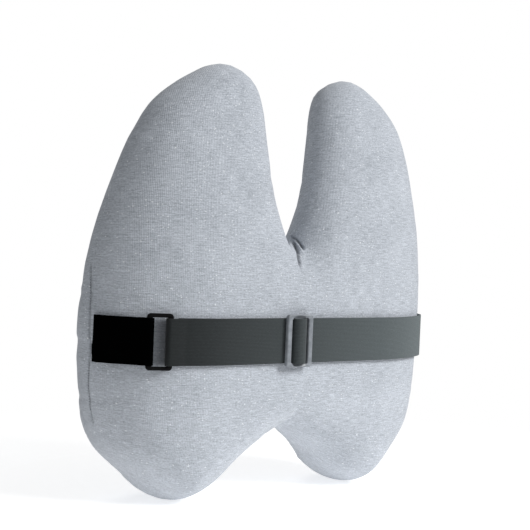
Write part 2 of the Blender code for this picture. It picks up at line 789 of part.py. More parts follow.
def build_slider(strap_lift, strap_axis):
    """The tri-glide and the webbing arched over its centre bar."""
    surface = back_y(SLIDER_X, STRAP_Z) - strap_lift
    middle_y = surface - GAP - SLIDER_THICK / 2
    origin = Vector((SLIDER_X, middle_y, STRAP_Z))
    outer = SLIDER_WIDTH / 2
    bar = SLIDER_CENTRE_BAR / 2
    xs = (-outer, -outer + SLIDER_BAR, -bar, bar, outer - SLIDER_BAR, outer)
    window_z = STRAP_WIDTH / 2 + SIDE_CLEARANCE
    zs = (-window_z - SLIDER_RAIL, -window_z, window_z, window_z + SLIDER_RAIL)
    corner = 0.94 * SLIDER_RAIL
    sink = (bar, window_z, SLIDER_BAR_DROP)
    frame = plate(xs, zs, {(1, 1), (3, 1)}, SLIDER_THICK, corner, 0.8, sink)
    bmesh.ops.translate(frame, verts=frame.verts[:], vec=origin)
    slider_axis = empty("slider_axis", origin)
    slider_axis.parent = strap_axis
    slider_axis.location = origin * MM - strap_axis.location
    place_on(slider_axis, origin, "strap_slider", frame, "hardware")
    reach = bar + GAP + WEBBING / 2
    bar_top = middle_y - SLIDER_THICK / 2 + SLIDER_BAR_DROP
    top = Vector((SLIDER_X, bar_top))
    foot_y = middle_y + SLIDER_THICK / 2 - 0.5
    arch = [Vector((SLIDER_X - reach, foot_y))]
    arch += half_turn(top, reach, 180, 360, 8)
    arch += [Vector((SLIDER_X + reach, foot_y))]
    wrap = ribbon(arch, WEBBING, STRAP_WIDTH, STRAP_Z)
    place_on(slider_axis, origin, "strap_wrap", wrap, "webbing")


def place_on(marker, origin, name, bm, finish):
    """Places a piece under a marker, with its own origin at the marker's point."""
    thing = place(name, bm, finish, origin=origin)
    thing.parent = marker
    thing.location = (0, 0, 0)
    return thing


def build_zip(arc):
    """The zip in the front seam's right-hand side."""
    zip_axis = empty("zip_axis", arc.centre)
    per_mm = 1.0 / arc.radius
    steps = 18
    tape_inner = COIL_INNER + COIL_WIDTH + GAP
    for name, side in (("back", -1), ("front", 1)):
        edge = sorted((side * tape_inner, side * (tape_inner + TAPE_WIDTH)))
        tape = box_section(*edge, -TAPE_HALF_HEIGHT, TAPE_HALF_HEIGHT)
        place("zip_tape_" + name, swept(arc, tape, 0, arc.sweep, steps), "tape")
        place("zip_coil_" + name, swept(arc, coil_section(side), 0, arc.sweep, steps), "coil")
    stop_half = COIL_INNER + COIL_WIDTH
    stop = box_section(-stop_half, stop_half, -COIL_HALF_HEIGHT, COIL_HALF_HEIGHT)
    gap = GAP * per_mm
    thick = ZIP_STOP * per_mm
    place("zip_stop_low", swept(arc, stop, -gap - thick, -gap, 1), "zip_metal")
    place("zip_stop_high", swept(arc, stop, arc.sweep + gap, arc.sweep + gap + thick, 1), "zip_metal")
    build_zip_slider(arc, zip_axis, per_mm)


def build_zip_slider(arc, zip_axis, per_mm):
    length = ZIP_SLIDER_LENGTH * per_mm
    body = place(
        "zip_slider", swept(arc, slider_section(), GAP * per_mm, GAP * per_mm + length, 3),
        "zip_metal", origin=arc.centre, smooth=False,
    )
    body.parent = zip_axis
    body.location = (0, 0, 0)
    top = COIL_HALF_HEIGHT + GAP + ZIP_PLATE
    middle = GAP + ZIP_SLIDER_LENGTH / 2
    half = BAIL_LENGTH / 2
    xs = (-half, -half + BAIL_WIRE, half - BAIL_WIRE, half)
    zs = (-0.4, BAIL_HEIGHT - BAIL_WIRE, BAIL_HEIGHT)
    bail = plate(xs, zs, {(1, 0)}, BAIL_WIRE, 0.001, 0.0)
    seat = frame_matrix(arc, middle, top)
    bmesh.ops.transform(bail, matrix=seat, verts=bail.verts[:])
    loop = place("bail", bail, "zip_metal", smooth=False)
    bpy.context.view_layer.update()
    joined(body, loop)
    hinge = arc.at(0.0, top + (BAIL_HEIGHT - BAIL_WIRE) / 2, middle)
    build_pull(arc, hinge, zip_axis)


def frame_matrix(arc, along, out):
    """Local X along the zip, local Y across it and local Z outward."""
    rotation = Matrix((arc.along, arc.across, arc.normal)).transposed()
    if rotation.determinant() < 0:
        rotation = Matrix((arc.along, -arc.across, arc.normal)).transposed()
    return Matrix.Translation(arc.at(0.0, out, along)) @ rotation.to_4x4()


def build_pull(arc, hinge, zip_axis):
    """The pull tab: its eye goes round the bail's bar and it hangs towards the lower end."""
    wide = PULL_WIDTH / 2
    eye = PULL_EYE_WIDTH / 2
    wall = PULL_WALL / 2
    xs = (-PULL_LENGTH, -wall - PULL_EYE_LENGTH, -wall, wall)
    zs = (-wide, -eye, eye, wide)
    pull = plate(xs, zs, {(1, 1)}, PULL_THICK, 0.4, 0.0)
    rotation = Matrix((arc.along, -arc.normal, arc.across)).transposed()
    if rotation.determinant() < 0:
        rotation = Matrix((arc.along, arc.normal, arc.across)).transposed()
    seat = Matrix.Translation(hinge) @ rotation.to_4x4()
    bmesh.ops.transform(pull, matrix=seat, verts=pull.verts[:])
    tab = place("zip_pull", pull, "zip_metal", origin=hinge, smooth=False)
    tab.parent = zip_axis
    tab.location = hinge * MM - zip_axis.location


def hang_on_mount():
    """Moves everything so that the origin is where the back rests against the chair."""
    shift = Vector((0, -back_y(0.0, MOUNT_Z), -MOUNT_Z)) * MM
    for thing in bpy.data.objects:
        if not thing.parent:
            thing.location += shift


def main():
    for thing in list(bpy.data.objects):
        bpy.data.objects.remove(thing)
    skin = make_skin()
    arc = ZipArc()
    build_cushion(skin, arc)
    skin.free()
    build_strap(Route(strap_route()))
    build_zip(arc)
    hang_on_mount()


main()
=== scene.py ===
"""A butterfly-shaped lumbar cushion: knit cover, strap, ring, tri-glide, zip and stage."""

import math

import bmesh
import bpy
import numpy as np
from mathutils import Matrix, Vector, noise
from mathutils.bvhtree import BVHTree


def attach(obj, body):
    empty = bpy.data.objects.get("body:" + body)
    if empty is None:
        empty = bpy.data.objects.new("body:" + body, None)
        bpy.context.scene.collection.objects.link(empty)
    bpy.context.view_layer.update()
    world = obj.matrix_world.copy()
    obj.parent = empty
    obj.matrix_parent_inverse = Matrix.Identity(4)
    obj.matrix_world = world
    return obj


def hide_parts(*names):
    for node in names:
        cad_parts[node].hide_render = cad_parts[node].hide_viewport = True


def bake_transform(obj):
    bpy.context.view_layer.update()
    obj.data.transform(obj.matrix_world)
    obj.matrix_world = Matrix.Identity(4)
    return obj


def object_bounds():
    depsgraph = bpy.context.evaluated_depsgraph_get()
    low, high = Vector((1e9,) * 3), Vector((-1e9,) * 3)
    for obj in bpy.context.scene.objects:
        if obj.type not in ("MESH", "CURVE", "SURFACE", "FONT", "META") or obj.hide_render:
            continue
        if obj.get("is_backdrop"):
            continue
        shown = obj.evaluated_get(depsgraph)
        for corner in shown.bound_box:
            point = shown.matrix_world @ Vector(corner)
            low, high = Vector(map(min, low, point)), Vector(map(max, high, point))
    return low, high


bl_info = {
    "name": "Lumbar Cushion",
    "version": (1, 0, 0),
    "blender": (4, 5, 0),
    "location": "View3D > Sidebar > Cushion",
    "description": "Builds a lumbar cushion's cover, strap, hardware, zip and stage",
    "category": "Add Mesh",
}

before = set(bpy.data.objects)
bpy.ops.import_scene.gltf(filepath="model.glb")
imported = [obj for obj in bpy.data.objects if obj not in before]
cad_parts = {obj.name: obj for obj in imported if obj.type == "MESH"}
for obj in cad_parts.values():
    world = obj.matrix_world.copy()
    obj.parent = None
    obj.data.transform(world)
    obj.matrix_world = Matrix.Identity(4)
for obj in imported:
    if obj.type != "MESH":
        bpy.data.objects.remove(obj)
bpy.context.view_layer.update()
MM = 0.001

# The cushion's form, in millimetres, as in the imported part: X across, Y from the chair
# towards the sitter and Z up, before SHIFT puts the origin on the flat of the back.
SLOT_DEPTH = 160.0
SLOT_HALF_TOP = 34.0
SLOT_FLOOR_RADIUS = 8.0
TIP_RADIUS = 36.0
NOTCH_HEIGHT = 64.0
LOBE_X = 109.0
WAIST_Z = 167.0
SIDE_RADIUS = 340.0
RIDGE_X, RIDGE_SPREAD, FLANK_ANGLE = 126.0, 38.0, 33.3
UPPER_Z, UPPER_SPREAD, UPPER_ANGLE = 240.0, 40.0, 7.4
LOWER_Z, LOWER_SPREAD, LOWER_ANGLE = 80.0, 30.0, 8.7
FRONT_HOLLOW, FRONT_TAPER, FRONT_LIFT, LUMBAR_Z = 0.00069, 0.155, 0.00054, 152.0
SEAM_ANGLE = 38.0
MOUNT_Z = 113.0

# The dart on each flank: its height and its rim angle.
DART = (
    (72, -12.6), (84, -11.4), (96, -11.8), (107, -13.3), (120, -17.0), (132, -20.8),
    (165, -21.2), (181, -18.9), (197, -14.8), (209, -9.6),
)

# Folds below the slot's floor: where each runs, its width and its depth (less than 0 raised).
FOLDS = (
    (((10.5, 4.9, 240.9), (7.8, -7.4, 237.9), (7.2, -14, 234.3), (6.9, -20, 230.4),
      (5.2, -24.4, 226.3)), 1.15, 2.7),
    (((8.5, 0.0, 238.5), (4.0, -12.5, 232.0), (0.3, -20.9, 227.0), (-4.8, -29.7, 221.0),
      (-6.7, -34.4, 214.4), (-8.4, -36.9, 207.0)), 1.5, 3.1),
    (((8.3, -1.9, 239.2), (5.2, -16.0, 231.5), (3.2, -25.5, 224.0), (-1.3, -33.5, 215.3)),
     1.5, -1.0),
    (((6.8, 1.4, 235.3), (-1.8, -15.3, 230.1), (-9.5, -29.0, 223.0)), 1.3, -0.7),
)

# The strap's route and hardware, in millimetres.
STRAP_Z = 147.0
WEBBING = 1.4
GAP = 0.4
STRAP_LIFT = 0.9
STRAP_SEWN_ANGLE = -30.0
RING_S, RING_WIDTH, RING_BAR, RING_RAIL, RING_THICK = -150.0, 22.5, 4.0, 3.4, 3.2
SLIDER_X, SLIDER_WIDTH, SLIDER_BAR, SLIDER_RAIL = -13.0, 29.0, 5.2, 2.9
SLIDER_CENTRE_BAR, SLIDER_THICK, SLIDER_BAR_DROP = 10.0, 4.4, 2.6
SIDE_CLEARANCE = 0.6
BAND_END_S = 104.0
STRAP_RUN = 330.0

# The zip, in millimetres.
ZIP_LOW, ZIP_HIGH = 78.0, 262.0
COIL_PITCH = 1.6
TROUGH_HALF = 6.9

# Rings of the cover's mesh round its rim: fine along the darts and the front seam.
RIM_ANGLES = (
    [-90 + 8.0 * k for k in range(8)]
    + [-28 + 3.0 * k for k in range(9)]
    + [4.0, 11.0, 18.0]
    + [24.4 + 1.7 * k for k in range(17)]
    + [56.0, 63.0, 70.0, 77.0, 83.5, 90.0]
)


# The ring's soft shade on the cover, in the strap's own millimetres.
RING_SHADE_X = RING_S * 0.96
RING_SHADE_HALF = 8.0

# Stitches, in millimetres above the lobes: the darts' run, and where the strap hides them.
DART_STITCHES = (72.0, 208.0)
STRAP_HIDES = 21.0
DART_PITCH = 2.3
HEM_PITCH = 3.0
HEM_OFFSET = 5.2

# The camera looks at this place, in metres, with the cushion a little off the middle.
CAMERA_TARGET = (0, 0.049184, 0.190 - 0.112823)
LENS_SHIFT = (-0.0165, 0.0453)
FLOOR_RADIUS = 0.7


# ---- settings ----------------------------------------------------------------------------
def colour(name, description, default):
    """A colour setting."""
    return bpy.props.FloatVectorProperty(
        name=name, description=description, subtype="COLOR", size=3, default=default, min=0, max=1
    )


class CushionCover(bpy.types.PropertyGroup):
    """Sizes and colours of the knit cover."""

    width: bpy.props.FloatProperty(
        name="Width", description="Across both flanks", default=382.0, min=300, max=480
    )
    height: bpy.props.FloatProperty(
        name="Height", description="From the lobes to the wing tips", default=392.0, min=300,
        max=500,
    )
    thickness: bpy.props.FloatProperty(
        name="Thickness", description="At the middle of the lumbar area", default=76.0, min=40,
        max=120,
    )
    edge_radius: bpy.props.FloatProperty(
        name="Edge Radius", description="Depth of the rounded rim", default=33.0, min=20, max=40
    )
    fill: bpy.props.FloatProperty(
        name="Fill", description="How tightly the foam fills the cover", default=0.9, min=0, max=1,
        subtype="FACTOR",
    )
    swell: bpy.props.FloatProperty(
        name="Swell", description="The most that the cloth may move as it fills, in mm",
        default=2.6, min=0, max=8,
    )
    seam_depth: bpy.props.FloatProperty(
        name="Seam Depth", description="Groove of the front seam, in mm", default=1.7, min=0, max=3
    )
    light_yarn: colour(
        "Light Yarn", "Paler yarn of the heather knit", (0.60, 0.635, 0.69)
    )
    dark_yarn: colour(
        "Dark Yarn", "Darker yarn of the heather knit", (0.31, 0.335, 0.37)
    )


class CushionStrap(bpy.types.PropertyGroup):
    """Sizes and colours of the elastic strap and its hardware."""

    width: bpy.props.FloatProperty(
        name="Webbing Width", description="Width of the elastic, in mm", default=40.0, min=20,
        max=60,
    )
    elastic: colour(
        "Elastic", "Colour of the ribbed elastic", (0.011, 0.013, 0.0135)
    )
    ring: colour(
        "Ring", "Colour of the ring's plastic", (0.0015, 0.0015, 0.0018)
    )
    slider: colour(
        "Tri-glide", "Colour of the tri-glide's plastic", (0.19, 0.205, 0.225)
    )


class CushionZip(bpy.types.PropertyGroup):
    """Colours of the zip in the right-hand side."""

    tape: colour(
        "Tape", "Colour of the woven tape", (0.30, 0.32, 0.35)
    )
    coil: colour(
        "Coil", "Colour of the nylon coil", (0.26, 0.28, 0.31)
    )
    metal: colour(
        "Metal", "Colour of the plated parts", (0.55, 0.56, 0.58)
    )


class CushionStage(bpy.types.PropertyGroup):
    """Camera and light."""

    azimuth: bpy.props.FloatProperty(
        name="Azimuth", description="Round the cushion from its back", subtype="ANGLE",
        default=math.radians(-38.334),
    )
    elevation: bpy.props.FloatProperty(
        name="Elevation", description="Above the horizon", subtype="ANGLE",
        default=math.radians(2.34),
    )
    roll: bpy.props.FloatProperty(
        name="Roll", description="Turn about the line of sight", subtype="ANGLE",
        default=math.radians(2.371),
    )
    distance: bpy.props.FloatProperty(
        name="Distance", description="From the cushion's middle", default=1.1964, min=0.5, max=5,
        unit="LENGTH",
    )
    lens: bpy.props.FloatProperty(
        name="Lens", description="Focal length on a 36 mm sensor", default=87.35, min=20, max=200,
        subtype="DISTANCE_CAMERA",
    )
    key_power: bpy.props.FloatProperty(
        name="Key Light", description="Power of the soft light on the right", default=30.0, min=0,
        max=500, unit="POWER",
    )
    fill_light: bpy.props.FloatProperty(
        name="Fill Light", description="Strength of the even light all round", default=0.38,
        min=0, max=3,
    )


# ---- the cushion's form ------------------------------------------------------------------
def shift(cover):
    return Vector((0, cover.thickness / 2, -MOUNT_Z))


def half_outline(cover):
    """Knots of the right half, from the slot's floor round the wing to the notch."""
    slot = cover.height - SLOT_DEPTH
    tip_x = SLOT_HALF_TOP + TIP_RADIUS
    tip_z = cover.height - TIP_RADIUS
    floor = slot + SLOT_FLOOR_RADIUS
    knots = [(0.0, slot)]
    for degrees in (-48, -10):
        turn = math.radians(degrees)
        reach = SLOT_FLOOR_RADIUS
        knots.append((reach * math.cos(turn), floor + reach * math.sin(turn)))
    knots += [
        (0.4 * SLOT_HALF_TOP, slot + 0.12 * SLOT_DEPTH),
        (0.67 * SLOT_HALF_TOP, slot + 0.285 * SLOT_DEPTH),
        (0.87 * SLOT_HALF_TOP, slot + 0.575 * SLOT_DEPTH),
    ]
    for degrees in (175, 135, 90):
        turn = math.radians(degrees)
        knots.append((tip_x + TIP_RADIUS * math.cos(turn), tip_z + TIP_RADIUS * math.sin(turn)))
    knots += [
        (tip_x + 1.63 * TIP_RADIUS, tip_z + 0.14 * TIP_RADIUS),
        (0.394 * cover.width, tip_z - 0.68 * TIP_RADIUS),
    ]
    centre = cover.width / 2 - SIDE_RADIUS
    for rise in (0.32, 0.165, 0.0, -0.153, -0.286):
        lift = rise * cover.height
        knots.append((centre + math.sqrt(SIDE_RADIUS**2 - lift**2), WAIST_Z + lift))
    knots += [
        (LOBE_X + 33.0, 0.39 * NOTCH_HEIGHT),
        (LOBE_X, 0.0),
        (LOBE_X - 34.0, 0.165 * NOTCH_HEIGHT),
        (0.44 * LOBE_X, 0.555 * NOTCH_HEIGHT),
        (0.145 * LOBE_X, 0.9 * NOTCH_HEIGHT),
        (0.0, NOTCH_HEIGHT),
    ]
    return [Vector(knot) for knot in knots]


def smooth_loop(knots, steps):
    """Closed centripetal Catmull-Rom curve through the knots."""
    points = []
    count = len(knots)
    for i in range(count):
        p0, p1, p2, p3 = (knots[(i + k) % count] for k in (-1, 0, 1, 2))
        a, b, c = ((q - p).length ** 0.5 for p, q in ((p0, p1), (p1, p2), (p2, p3)))
        leave = ((p1 - p0) / a - (p2 - p0) / (a + b) + (p2 - p1) / b) * b
        arrive = ((p2 - p1) / b - (p3 - p1) / (b + c) + (p3 - p2) / c) * b
        for k in range(steps):
            t = k / steps
            points.append(
                (2 * t**3 - 3 * t**2 + 1) * p1
                + (t**3 - 2 * t**2 + t) * leave
                + (3 * t**2 - 2 * t**3) * p2
                + (t**3 - t**2) * arrive
            )
    return points


def rim_feet(cover, steps):
    """Where the rounded rim starts, all round, with the outward direction at each place."""
    right = half_outline(cover)
    left = [Vector((-knot.x, knot.y)) for knot in right[-2:0:-1]]
    points = smooth_loop(right + left, steps)
    normals = []
    for i in range(len(points)):
        along = points[(i + 1) % len(points)] - points[i - 1]
        normals.append(Vector((-along.y, along.x)).normalized())
    return [p - n * cover.edge_radius for p, n in zip(points, normals)], normals


def ramp(value, spread):
    """0 well below zero, the value itself well above, and a parabola between them."""
    value = np.asarray(value, float)
    bend = (value + spread) ** 2 / (4 * spread)
    return np.where(value <= -spread, 0.0, np.where(value >= spread, value, bend))


def slope(degrees):
    return math.tan(math.radians(degrees))


def back_y(cover, x, z):
    flank = slope(FLANK_ANGLE) * ramp(np.abs(x) - RIDGE_X, RIDGE_SPREAD)
    upper = slope(UPPER_ANGLE) * ramp(z - UPPER_Z, UPPER_SPREAD)
    lower = slope(LOWER_ANGLE) * ramp(LOWER_Z - z, LOWER_SPREAD)
    return -cover.thickness / 2 + flank + upper + lower


def front_y(cover, x, z):
    rise = z - LUMBAR_Z
    return cover.thickness / 2 + FRONT_HOLLOW * x**2 - FRONT_TAPER * rise + FRONT_LIFT * rise**2


def skin_points(cover, foot, out, degrees, depth):
    """Points at this depth under the surface: degrees goes round the rim, back to front."""
    turn = np.radians(degrees)
    reach = (cover.edge_radius - depth) * np.cos(turn)
    x = foot[:, 0] + out[:, 0] * reach
    z = foot[:, 1] + out[:, 1] * reach
    near = back_y(cover, x, z)
    far = front_y(cover, x, z)
    half = (far - near) / 2 - depth
    return np.stack([x, (near + far) / 2 + half * np.sin(turn), z], axis=1)


def skin_point(cover, foot, out, degrees, depth=0.0):
    pair = (np.array([[v.x, v.y]]) for v in (foot, out))
    return Vector(skin_points(cover, *pair, np.array([degrees]), depth)[0])


def smoothstep(low, high, value):
    t = np.clip((np.asarray(value, float) - low) / (high - low), 0, 1)
    return t * t * (3 - 2 * t)


def hump(value, width):
    return np.exp(-((value / width) ** 2))


# ---- mesh helpers ------------------------------------------------------------------------
def finished(name, bm, material, body=None, replaces=(), smooth=40.0):
    """Makes the piece: millimetres become metres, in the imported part's frame."""
    cover = bpy.context.scene.cushion_cover
    bmesh.ops.translate(bm, verts=bm.verts[:], vec=shift(cover))
    bmesh.ops.scale(bm, verts=bm.verts[:], vec=(MM, MM, MM))
    mesh = bpy.data.meshes.new(name)
    bm.to_mesh(mesh)
    bm.free()
    mesh.materials.append(material)
    mesh.shade_smooth()
    if smooth:
        mesh.set_sharp_from_angle(angle=math.radians(smooth))
    piece = bpy.data.objects.new(name, mesh)
    bpy.context.scene.collection.objects.link(piece)
    if body:
        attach(piece, body)
    if replaces:
        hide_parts(*replaces)
    return piece


def raise_faces(bm, travel):
    """Extrudes every face of a flat sheet into a closed solid."""
    grown = bmesh.ops.extrude_face_region(bm, geom=bm.faces[:])["geom"]
    verts = [item for item in grown if isinstance(item, bmesh.types.BMVert)]
    bmesh.ops.translate(bm, verts=verts, vec=travel)
    bmesh.ops.recalc_face_normals(bm, faces=bm.faces[:])


def applied(piece):
    """Replaces a piece's mesh by its evaluated one and drops its modifiers."""
    graph = bpy.context.evaluated_depsgraph_get()
    mesh = bpy.data.meshes.new_from_object(piece.evaluated_get(graph))
    mesh.name = piece.name
    piece.modifiers.clear()
    piece.data = mesh


def vectors(mesh, name, size=3):
    values = np.zeros(len(mesh.vertices) * size, np.float32)
    key = "vector" if size == 3 else "value"
    mesh.attributes[name].data.foreach_get(key, values)
    return values.reshape(-1, size) if size == 3 else values


def corners_of(mesh, key="co"):
    values = np.zeros(len(mesh.vertices) * 3, np.float64)
    if key == "co":
        mesh.vertices.foreach_get("co", values)
    else:
        mesh.vertex_normals.foreach_get("vector", values)
    return values.reshape(-1, 3)


def store(mesh, name, values, kind="FLOAT"):
    attribute = mesh.attributes.new(name, kind, "POINT")
    key = "value" if kind == "FLOAT" else "vector"
    attribute.data.foreach_set(key, np.asarray(values, np.float32).ravel())


# ---- cover -------------------------------------------------------------------------------
def outward_at(place, feet, normals):
    """Outward direction at a point on the panel's border, blended between the feet."""
    best = None
    for i, start in enumerate(feet):
        run = feet[(i + 1) % len(feet)] - start
        share = max(0.0, min(1.0, (place - start).dot(run) / run.length_squared))
        miss = (start + run * share - place).length
        if best is None or miss < best[0]:
            best = (miss, normals[i].lerp(normals[(i + 1) % len(feet)], share).normalized())
    return best[1]


def cover_skin(cover, pitch=7.0):
    """The closed skin; every vertex keeps its foot, outward direction and rim angle."""
    feet, normals = rim_feet(cover, 3)
    bm = bmesh.new()
    bm.faces.new([bm.verts.new((f.x, 0, f.y)) for f in feet])
    for normal, low, high in (
        (Vector((1, 0, 0)), -cover.width / 2, cover.width / 2),
        (Vector((0, 0, 1)), 0.0, cover.height),
    ):
        count = round((high - low) / pitch)
        for k in range(1, count):
            bmesh.ops.bisect_plane(
                bm, geom=bm.verts[:] + bm.edges[:] + bm.faces[:], dist=0.6,
                plane_co=normal * (low + (high - low) * k / count), plane_no=normal,
            )
    bmesh.ops.remove_doubles(bm, verts=bm.verts[:], dist=1.6)
    foot_of = bm.verts.layers.float_vector.new("foot")
    out_of = bm.verts.layers.float_vector.new("out")
    turn_of = bm.verts.layers.float.new("turn")
    border = {v for e in bm.edges if e.is_boundary for v in e.verts}
    for vert in bm.verts:
        vert[foot_of] = vert.co
        vert[turn_of] = RIM_ANGLES[0]
        if vert in border:
            out = outward_at(Vector((vert.co.x, vert.co.z)), feet, normals)
            vert[out_of] = (out.x, 0, out.y)
    panel = bm.verts[:] + bm.edges[:] + bm.faces[:]
    front = bmesh.ops.duplicate(bm, geom=panel)["geom"]
    for item in front:
        if isinstance(item, bmesh.types.BMVert):
            item[turn_of] = RIM_ANGLES[-1]
    bmesh.ops.reverse_faces(bm, faces=[f for f in front if isinstance(f, bmesh.types.BMFace)])
    edges = [e for e in bm.edges if e.is_boundary and e.verts[0] in border]
    for degrees in RIM_ANGLES[1:]:
        grown = bmesh.ops.extrude_edge_only(bm, edges=edges)["geom"]
        new = {item for item in grown if isinstance(item, bmesh.types.BMVert)}
        for vert in new:
            vert[turn_of] = degrees
        edges = [
            e for e in grown
            if isinstance(e, bmesh.types.BMEdge) and e.verts[0] in new and e.verts[1] in new
        ]
    for vert in bm.verts:
        foot = Vector((vert[foot_of].x, vert[foot_of].z))
        out = Vector((vert[out_of].x, vert[out_of].z))
        vert.co = skin_point(cover, foot, out, vert[turn_of])
    bmesh.ops.remove_doubles(bm, verts=bm.verts[:], dist=0.01)
    bmesh.ops.recalc_face_normals(bm, faces=bm.faces[:])
    return bm


def dart_degrees(z):
    """Rim angle of the dart seam on each flank, at this height."""
    heights, angles = zip(*DART)
    return np.interp(z, heights, angles)


def swelled(piece, cover):
    """Fills the cover by cloth simulation, with its seams and strap ends held."""
    mesh = piece.data
    start = corners_of(mesh)
    turn = vectors(mesh, "turn", 1)
    foot = vectors(mesh, "foot")
    on_seam = np.abs(turn - SEAM_ANGLE) < 1.0
    height = start[:, 2] / MM + MOUNT_Z
    on_dart = (np.abs(turn - dart_degrees(height)) < 2.0) & (np.abs(foot[:, 0]) > 110)
    under_strap = (np.abs(height - STRAP_Z) < 22) & (turn < -20)
    arc = ZipArc(cover)
    zip_off, zip_along, _ = arc.offsets(start / MM - np.array(shift(cover)))
    on_zip = (np.abs(zip_off) < 11) & (np.abs(zip_along - arc.length / 2) < arc.length / 2 + 14)
    on_zip = on_zip & (start[:, 0] > 0) & (turn > 0)
    held = piece.vertex_groups.new(name="held")
    still = np.nonzero(on_seam | on_dart | under_strap | on_zip)[0]
    held.add([int(i) for i in still], 1.0, "REPLACE")
    cloth = piece.modifiers.new("fill", "CLOTH")
    work = cloth.settings
    work.quality = 6
    work.mass = 0.25
    work.tension_stiffness = work.compression_stiffness = 12
    work.shear_stiffness = 6
    work.bending_stiffness = 0.6
    work.use_pressure = True
    work.uniform_pressure_force = 4
    work.effector_weights.gravity = 0
    work.vertex_group_mass = "held"
    cloth.collision_settings.use_collision = False
    scene = bpy.context.scene
    for step in range(1, 21):
        scene.frame_set(step)
    graph = bpy.context.evaluated_depsgraph_get()
    end = corners_of(piece.evaluated_get(graph).data)
    piece.modifiers.clear()
    piece.vertex_groups.clear()
    scene.frame_set(1)
    move = end - start
    far = np.linalg.norm(move, axis=1)
    cap = cover.swell * MM
    share = cap * np.tanh(far / cap) / np.maximum(far, 1e-9)
    mesh.vertices.foreach_set("co", (start + move * share[:, None]).ravel())
    mesh.update()


def wander(points, scale, seed):
    """Smooth noise at each point, from about -1 to 1."""
    lift = Vector((seed * 7.1, seed * 3.7, seed * 1.9))
    return np.array([noise.noise(Vector(p) * scale + lift) for p in points])


def from_line(points, line):
    """Distance from each point to a polyline, and how far along it the nearest place is."""
    best = np.full(len(points), 1e9)
    share = np.zeros(len(points))
    for k, (start, end) in enumerate(zip(line, line[1:])):
        start = np.array(start)
        run = np.array(end) - start
        t = np.clip((points - start) @ run / (run @ run), 0, 1)
        miss = np.linalg.norm(points - start - t[:, None] * run, axis=1)
        nearer = miss < best
        best[nearer] = miss[nearer]
        share[nearer] = (k + t[nearer]) / (len(line) - 1)
    return best, share


def slot_creases(points):
    """Folds gathered at the slot's floor: two deep ones with a roll of cloth between them."""
    depth = np.zeros(len(points))
    for line, width, deepest in FOLDS:
        miss, share = from_line(points, line)
        ends = smoothstep(0.0, 0.16, share) * smoothstep(1.0, 0.62, share)
        depth += deepest * hump(miss, width) * ends
    return depth


